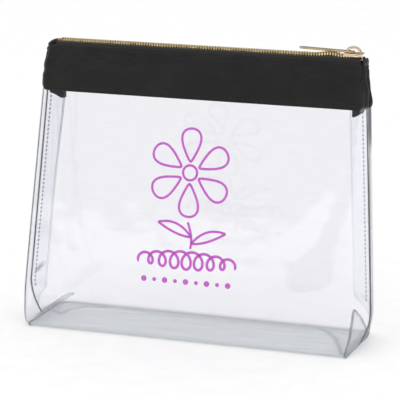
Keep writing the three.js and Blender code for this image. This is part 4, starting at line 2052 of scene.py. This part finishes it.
@dataclass(frozen=True)
class Motif:
    """A line drawing printed on the front: a flower on a leafy stem, a flourish and a row of dots."""

    form: BagForm
    centre_x: float = 1.5
    flower_z: float = 114.5
    petals: int = 6
    petal_root: float = 7.5
    petal_length: float = 22.0
    petal_half_width: float = 9.6
    heart_radius: float = 5.0
    line: float = 1.65
    flourish_z: float = 55.5
    flourish_line: float = 1.9
    flourish_half: float = 34.0
    loops: int = 8
    loop_half_width: float = 5.2
    loop_half_height: float = 6.0
    dots: int = 9
    dot_z: float = 41.0
    dot_half: float = 30.0  # half the row's length
    small_dot: float = 1.4
    large_dot: float = 2.0
    leaf: tuple[float, float] = (24.0, 8.5)  # from its root to its tip
    film: float = 0.08
    stand_off: float = 0.08

    def place(self, x: float, z: float, out: float) -> Vector:
        """Return a point of the print on the front wall."""
        return self.form.on_wall(Face.FRONT, self.centre_x + x, z, self.stand_off + out)

    def strokes(self) -> list[Stroke]:
        """Return the motif's lines.

        Returns:
            The petals, the heart, the stem, the leaves and the looped flourish.
        """
        lines = []
        for k in range(self.petals):
            lines.append(Stroke(self.petal(2 * math.pi * (k + 0.5) / self.petals), self.line, True))
        turns = [2 * math.pi * i / 28 for i in range(28)]
        heart = [self.around(self.heart_radius, angle) for angle in turns]
        lines.append(Stroke(heart, self.line, True))
        lines.append(Stroke([self.stem(t) for t in spread(0, 1, 0.06)], self.line))
        for side, root in ((-1, 0.55), (1, 0.8)):
            base = self.stem(root)
            tip = base + Vector((side * self.leaf[0], self.leaf[1]))
            for bend in (8.5, -4.5):
                middle = (base + tip) / 2 + Vector((-side * 2.0, bend))
                leaf = [bezier(base, middle, tip, t) for t in spread(0, 1, 0.06)]
                lines.append(Stroke(leaf, self.line))
        lines.append(Stroke(self.flourish(), self.flourish_line))
        return lines

    def around(self, radius: float, angle: float) -> Vector:
        """Return a point at a distance and angle from the flower's middle."""
        return Vector((radius * math.cos(angle), self.flower_z + radius * math.sin(angle)))

    def stem(self, t: float) -> Vector:
        """Return a point a share t of the way down the stem."""
        return Vector((3.0 * math.sin(2.2 * t), self.flower_z - 33.0 - 18.0 * t))

    def flourish(self) -> list[Vector]:
        """Return the looped line under the flower.

        Returns:
            Its points, in loops that grow to the middle and shrink again.
        """
        points = []
        for t in spread(0, 1, 0.004):
            size = 0.45 + 0.55 * math.sin(math.pi * t)
            turn = 2 * math.pi * self.loops * t
            middle_x = lerp(-self.flourish_half, self.flourish_half, t)
            x = middle_x - self.loop_half_width * size * math.sin(turn)
            points.append(Vector((x, self.flourish_z - self.loop_half_height * size * math.cos(turn))))
        return points

    def petal(self, turn: float) -> list[Vector]:
        """Return a petal's outline.

        Args:
            turn: the way that it points, in radians.

        Returns:
            Points round the petal.
        """
        points = []
        for i in range(40):
            angle = 2 * math.pi * i / 40
            along = self.petal_root + self.petal_length * (1 - math.cos(angle)) / 2
            across = self.petal_half_width * math.sin(angle) * (0.62 - 0.38 * math.cos(angle))
            x = along * math.cos(turn) - across * math.sin(turn)
            z = along * math.sin(turn) + across * math.cos(turn)
            points.append(Vector((x, self.flower_z + z)))
        return points

    def ribbon(self, pieces: dict[Side, Piece], stroke: Stroke) -> None:
        """Add a line of ink, shared out to the halves of the wall.

        Args:
            pieces: the print's two halves.
            stroke: the line.
        """
        points, closed = stroke.points, stroke.closed
        count = len(points)
        edges = []
        for i, point in enumerate(points):
            before = points[i - 1] if closed or i else point
            after = points[(i + 1) % count] if closed or i < count - 1 else point
            tangent = (after - before).normalized()
            across = Vector((-tangent.y, tangent.x)) * (stroke.width / 2)
            edges.append((point + across, point - across))
        for i in range(count if closed else count - 1):
            (left, right), (next_left, next_right) = edges[i], edges[(i + 1) % count]
            self.tile(pieces, [left, next_left, next_right, right])

    def tile(self, pieces: dict[Side, Piece], corners: Sequence[Vector]) -> None:
        """Add a small flat tile of ink with the film's thickness.

        Args:
            pieces: the print's two halves.
            corners: the tile's corners on the wall's plane.
        """
        middle_x = self.centre_x + sum(c.x for c in corners) / len(corners)
        side = Side.LEFT if middle_x < 0 else Side.RIGHT
        pieces[side].loft([[self.place(c.x, c.y, out) for c in corners] for out in (0.0, self.film)])

    def build(self) -> None:
        """Build the print's two halves."""
        pieces = {side: Piece() for side in Side}
        for stroke in self.strokes():
            self.ribbon(pieces, stroke)
        turns = [2 * math.pi * i / 14 for i in range(14)]
        for k in range(self.dots):
            middle = Vector((lerp(-self.dot_half, self.dot_half, k / (self.dots - 1)), self.dot_z))
            radius = self.small_dot if k % 2 else self.large_dot
            self.tile(pieces, [middle + radius * Vector((math.cos(a), math.sin(a))) for a in turns])
        for side, piece in pieces.items():
            made = piece.build(f"print_{word(side)}", INK)
            self.form.blend_wall(made, side, Face.FRONT)


# ------------------------------------------------------------------ the studio


@dataclass(frozen=True)
class Studio:
    """A white paper floor, soft light all round and the camera."""

    focal_mm: float = 197.46
    distance: float = 1492.0
    target: tuple[float, float, float] = (2.3, 0.0, 91.9)
    turn: float = 19.2  # degrees round to the bag's right
    pitch: float = 13.2  # degrees above level
    roll: float = 0.17
    floor_half: float = 6000.0
    floor_drop: float = 0.4  # how far the floor lies below the bag

    def camera(self) -> None:
        """Place the camera."""
        turn, pitch = math.radians(self.turn), math.radians(self.pitch)
        back = Vector(
            (math.sin(turn) * math.cos(pitch), -math.cos(turn) * math.cos(pitch), math.sin(pitch))
        )
        data = bpy.data.cameras.new("camera")
        data.lens = self.focal_mm
        data.sensor_width = 36.0
        data.clip_end = 50.0
        camera = bpy.data.objects.new("camera", data)
        bpy.context.scene.collection.objects.link(camera)
        camera.rotation_mode = "QUATERNION"
        camera.location = (Vector(self.target) + back * self.distance) * MM
        aim = (-back).to_track_quat("-Z", "Y")
        camera.rotation_quaternion = aim @ Quaternion((0, 0, 1), math.radians(self.roll))
        bpy.context.scene.camera = camera

    def floor(self) -> None:
        """Lay the paper floor."""
        half = self.floor_half
        piece = Piece()
        plan = ((-half, -half), (half, -half), (half, half), (-half, half))
        piece.face(piece.points([Vector((x, y, -self.floor_drop)) for x, y in plan]))
        piece.build("floor", PAPER)

    def light(self, name: str, place: Vector, aim: Vector, size: Vector, watts: float) -> None:
        """Hang a soft rectangular light.

        Args:
            name: its name.
            place: where it hangs.
            aim: what it points at.
            size: its width and height.
            watts: its power.
        """
        data = bpy.data.lights.new(name, "AREA")
        data.shape = "RECTANGLE"
        data.size = size.x * MM
        data.size_y = size.y * MM
        data.energy = watts
        lamp = bpy.data.objects.new(name, data)
        bpy.context.scene.collection.objects.link(lamp)
        lamp.location = place * MM
        lamp.rotation_mode = "QUATERNION"
        lamp.rotation_quaternion = (aim - place).to_track_quat("-Z", "Y")

    def surroundings(self) -> None:
        """Make the white room: even light, with greyer walls that only reflections show."""
        world = bpy.data.worlds.new("white_room")
        bpy.context.scene.world = world
        world.use_nodes = True
        tree = world.node_tree
        tree.nodes.clear()
        place = add_node(tree, "TexCoord").outputs["Generated"]
        height = add_node(tree, "SeparateXYZ", {0: place}).outputs["Z"]
        stops = [(0.0, "#6c6f73"), (0.2, "#8f9296"), (0.5, "#dcdde0"), (1.0, "#ffffff")]
        walls = add_node(tree, "ValToRGB", {"Fac": height}, stops).outputs["Color"]
        seen = add_node(tree, "Background", {"Color": walls, "Strength": 1.0})
        even = add_node(tree, "Background", {"Color": linear("#ffffff"), "Strength": 1.04})
        glossy = add_node(tree, "LightPath").outputs["Is Glossy Ray"]
        mixed = add_node(tree, "MixShader", {0: glossy, 1: even.outputs[0], 2: seen.outputs[0]})
        output = add_node(tree, "OutputWorld")
        tree.links.new(mixed.outputs[0], output.inputs["Surface"])

    def build(self) -> None:
        """Set the studio up."""
        scene = bpy.context.scene
        scene.view_settings.view_transform = "Standard"
        scene.cycles.transparent_max_bounces = 48
        scene.cycles.max_bounces = 12
        self.camera()
        self.floor()
        self.surroundings()
        aim = Vector((0, 0, 100))
        self.light("key", Vector((-700, -900, 1100)), aim, Vector((900, 700)), 1.6)
        self.light("right_strip", Vector((1100, -500, 500)), aim, Vector((250, 900)), 0.9)


# ------------------------------------------------------------------ the whole bag


def main() -> None:
    """Build the bag round the frame."""
    logging.basicConfig(level=logging.INFO, format="%(name)s %(message)s")
    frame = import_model()
    form = BagForm.from_frame(frame["record"]["behaviour"]["joints"])
    Studio().build()
    ClearBody(form).build()
    SideSeam(form, Side.LEFT, foot_drop=9.0, edge_drop=3.5).build()
    SideSeam(form, Side.RIGHT, foot_drop=9.0, seam_edge_shade=0.2, top_width=0.0).build()
    CornerFlap(form, Side.LEFT, tilt=35.0, reach=28.0, flap_edge_shade=0.08, root_trim=3.4).build()
    CornerFlap(form, Side.RIGHT, tilt=86.0, reach=24.5, flap_edge_shade=0.55).build()
    Band(form).build()
    Zip(form).build()
    Slider().build()
    Motif(form).build()


if __name__ == "__main__":
    main()
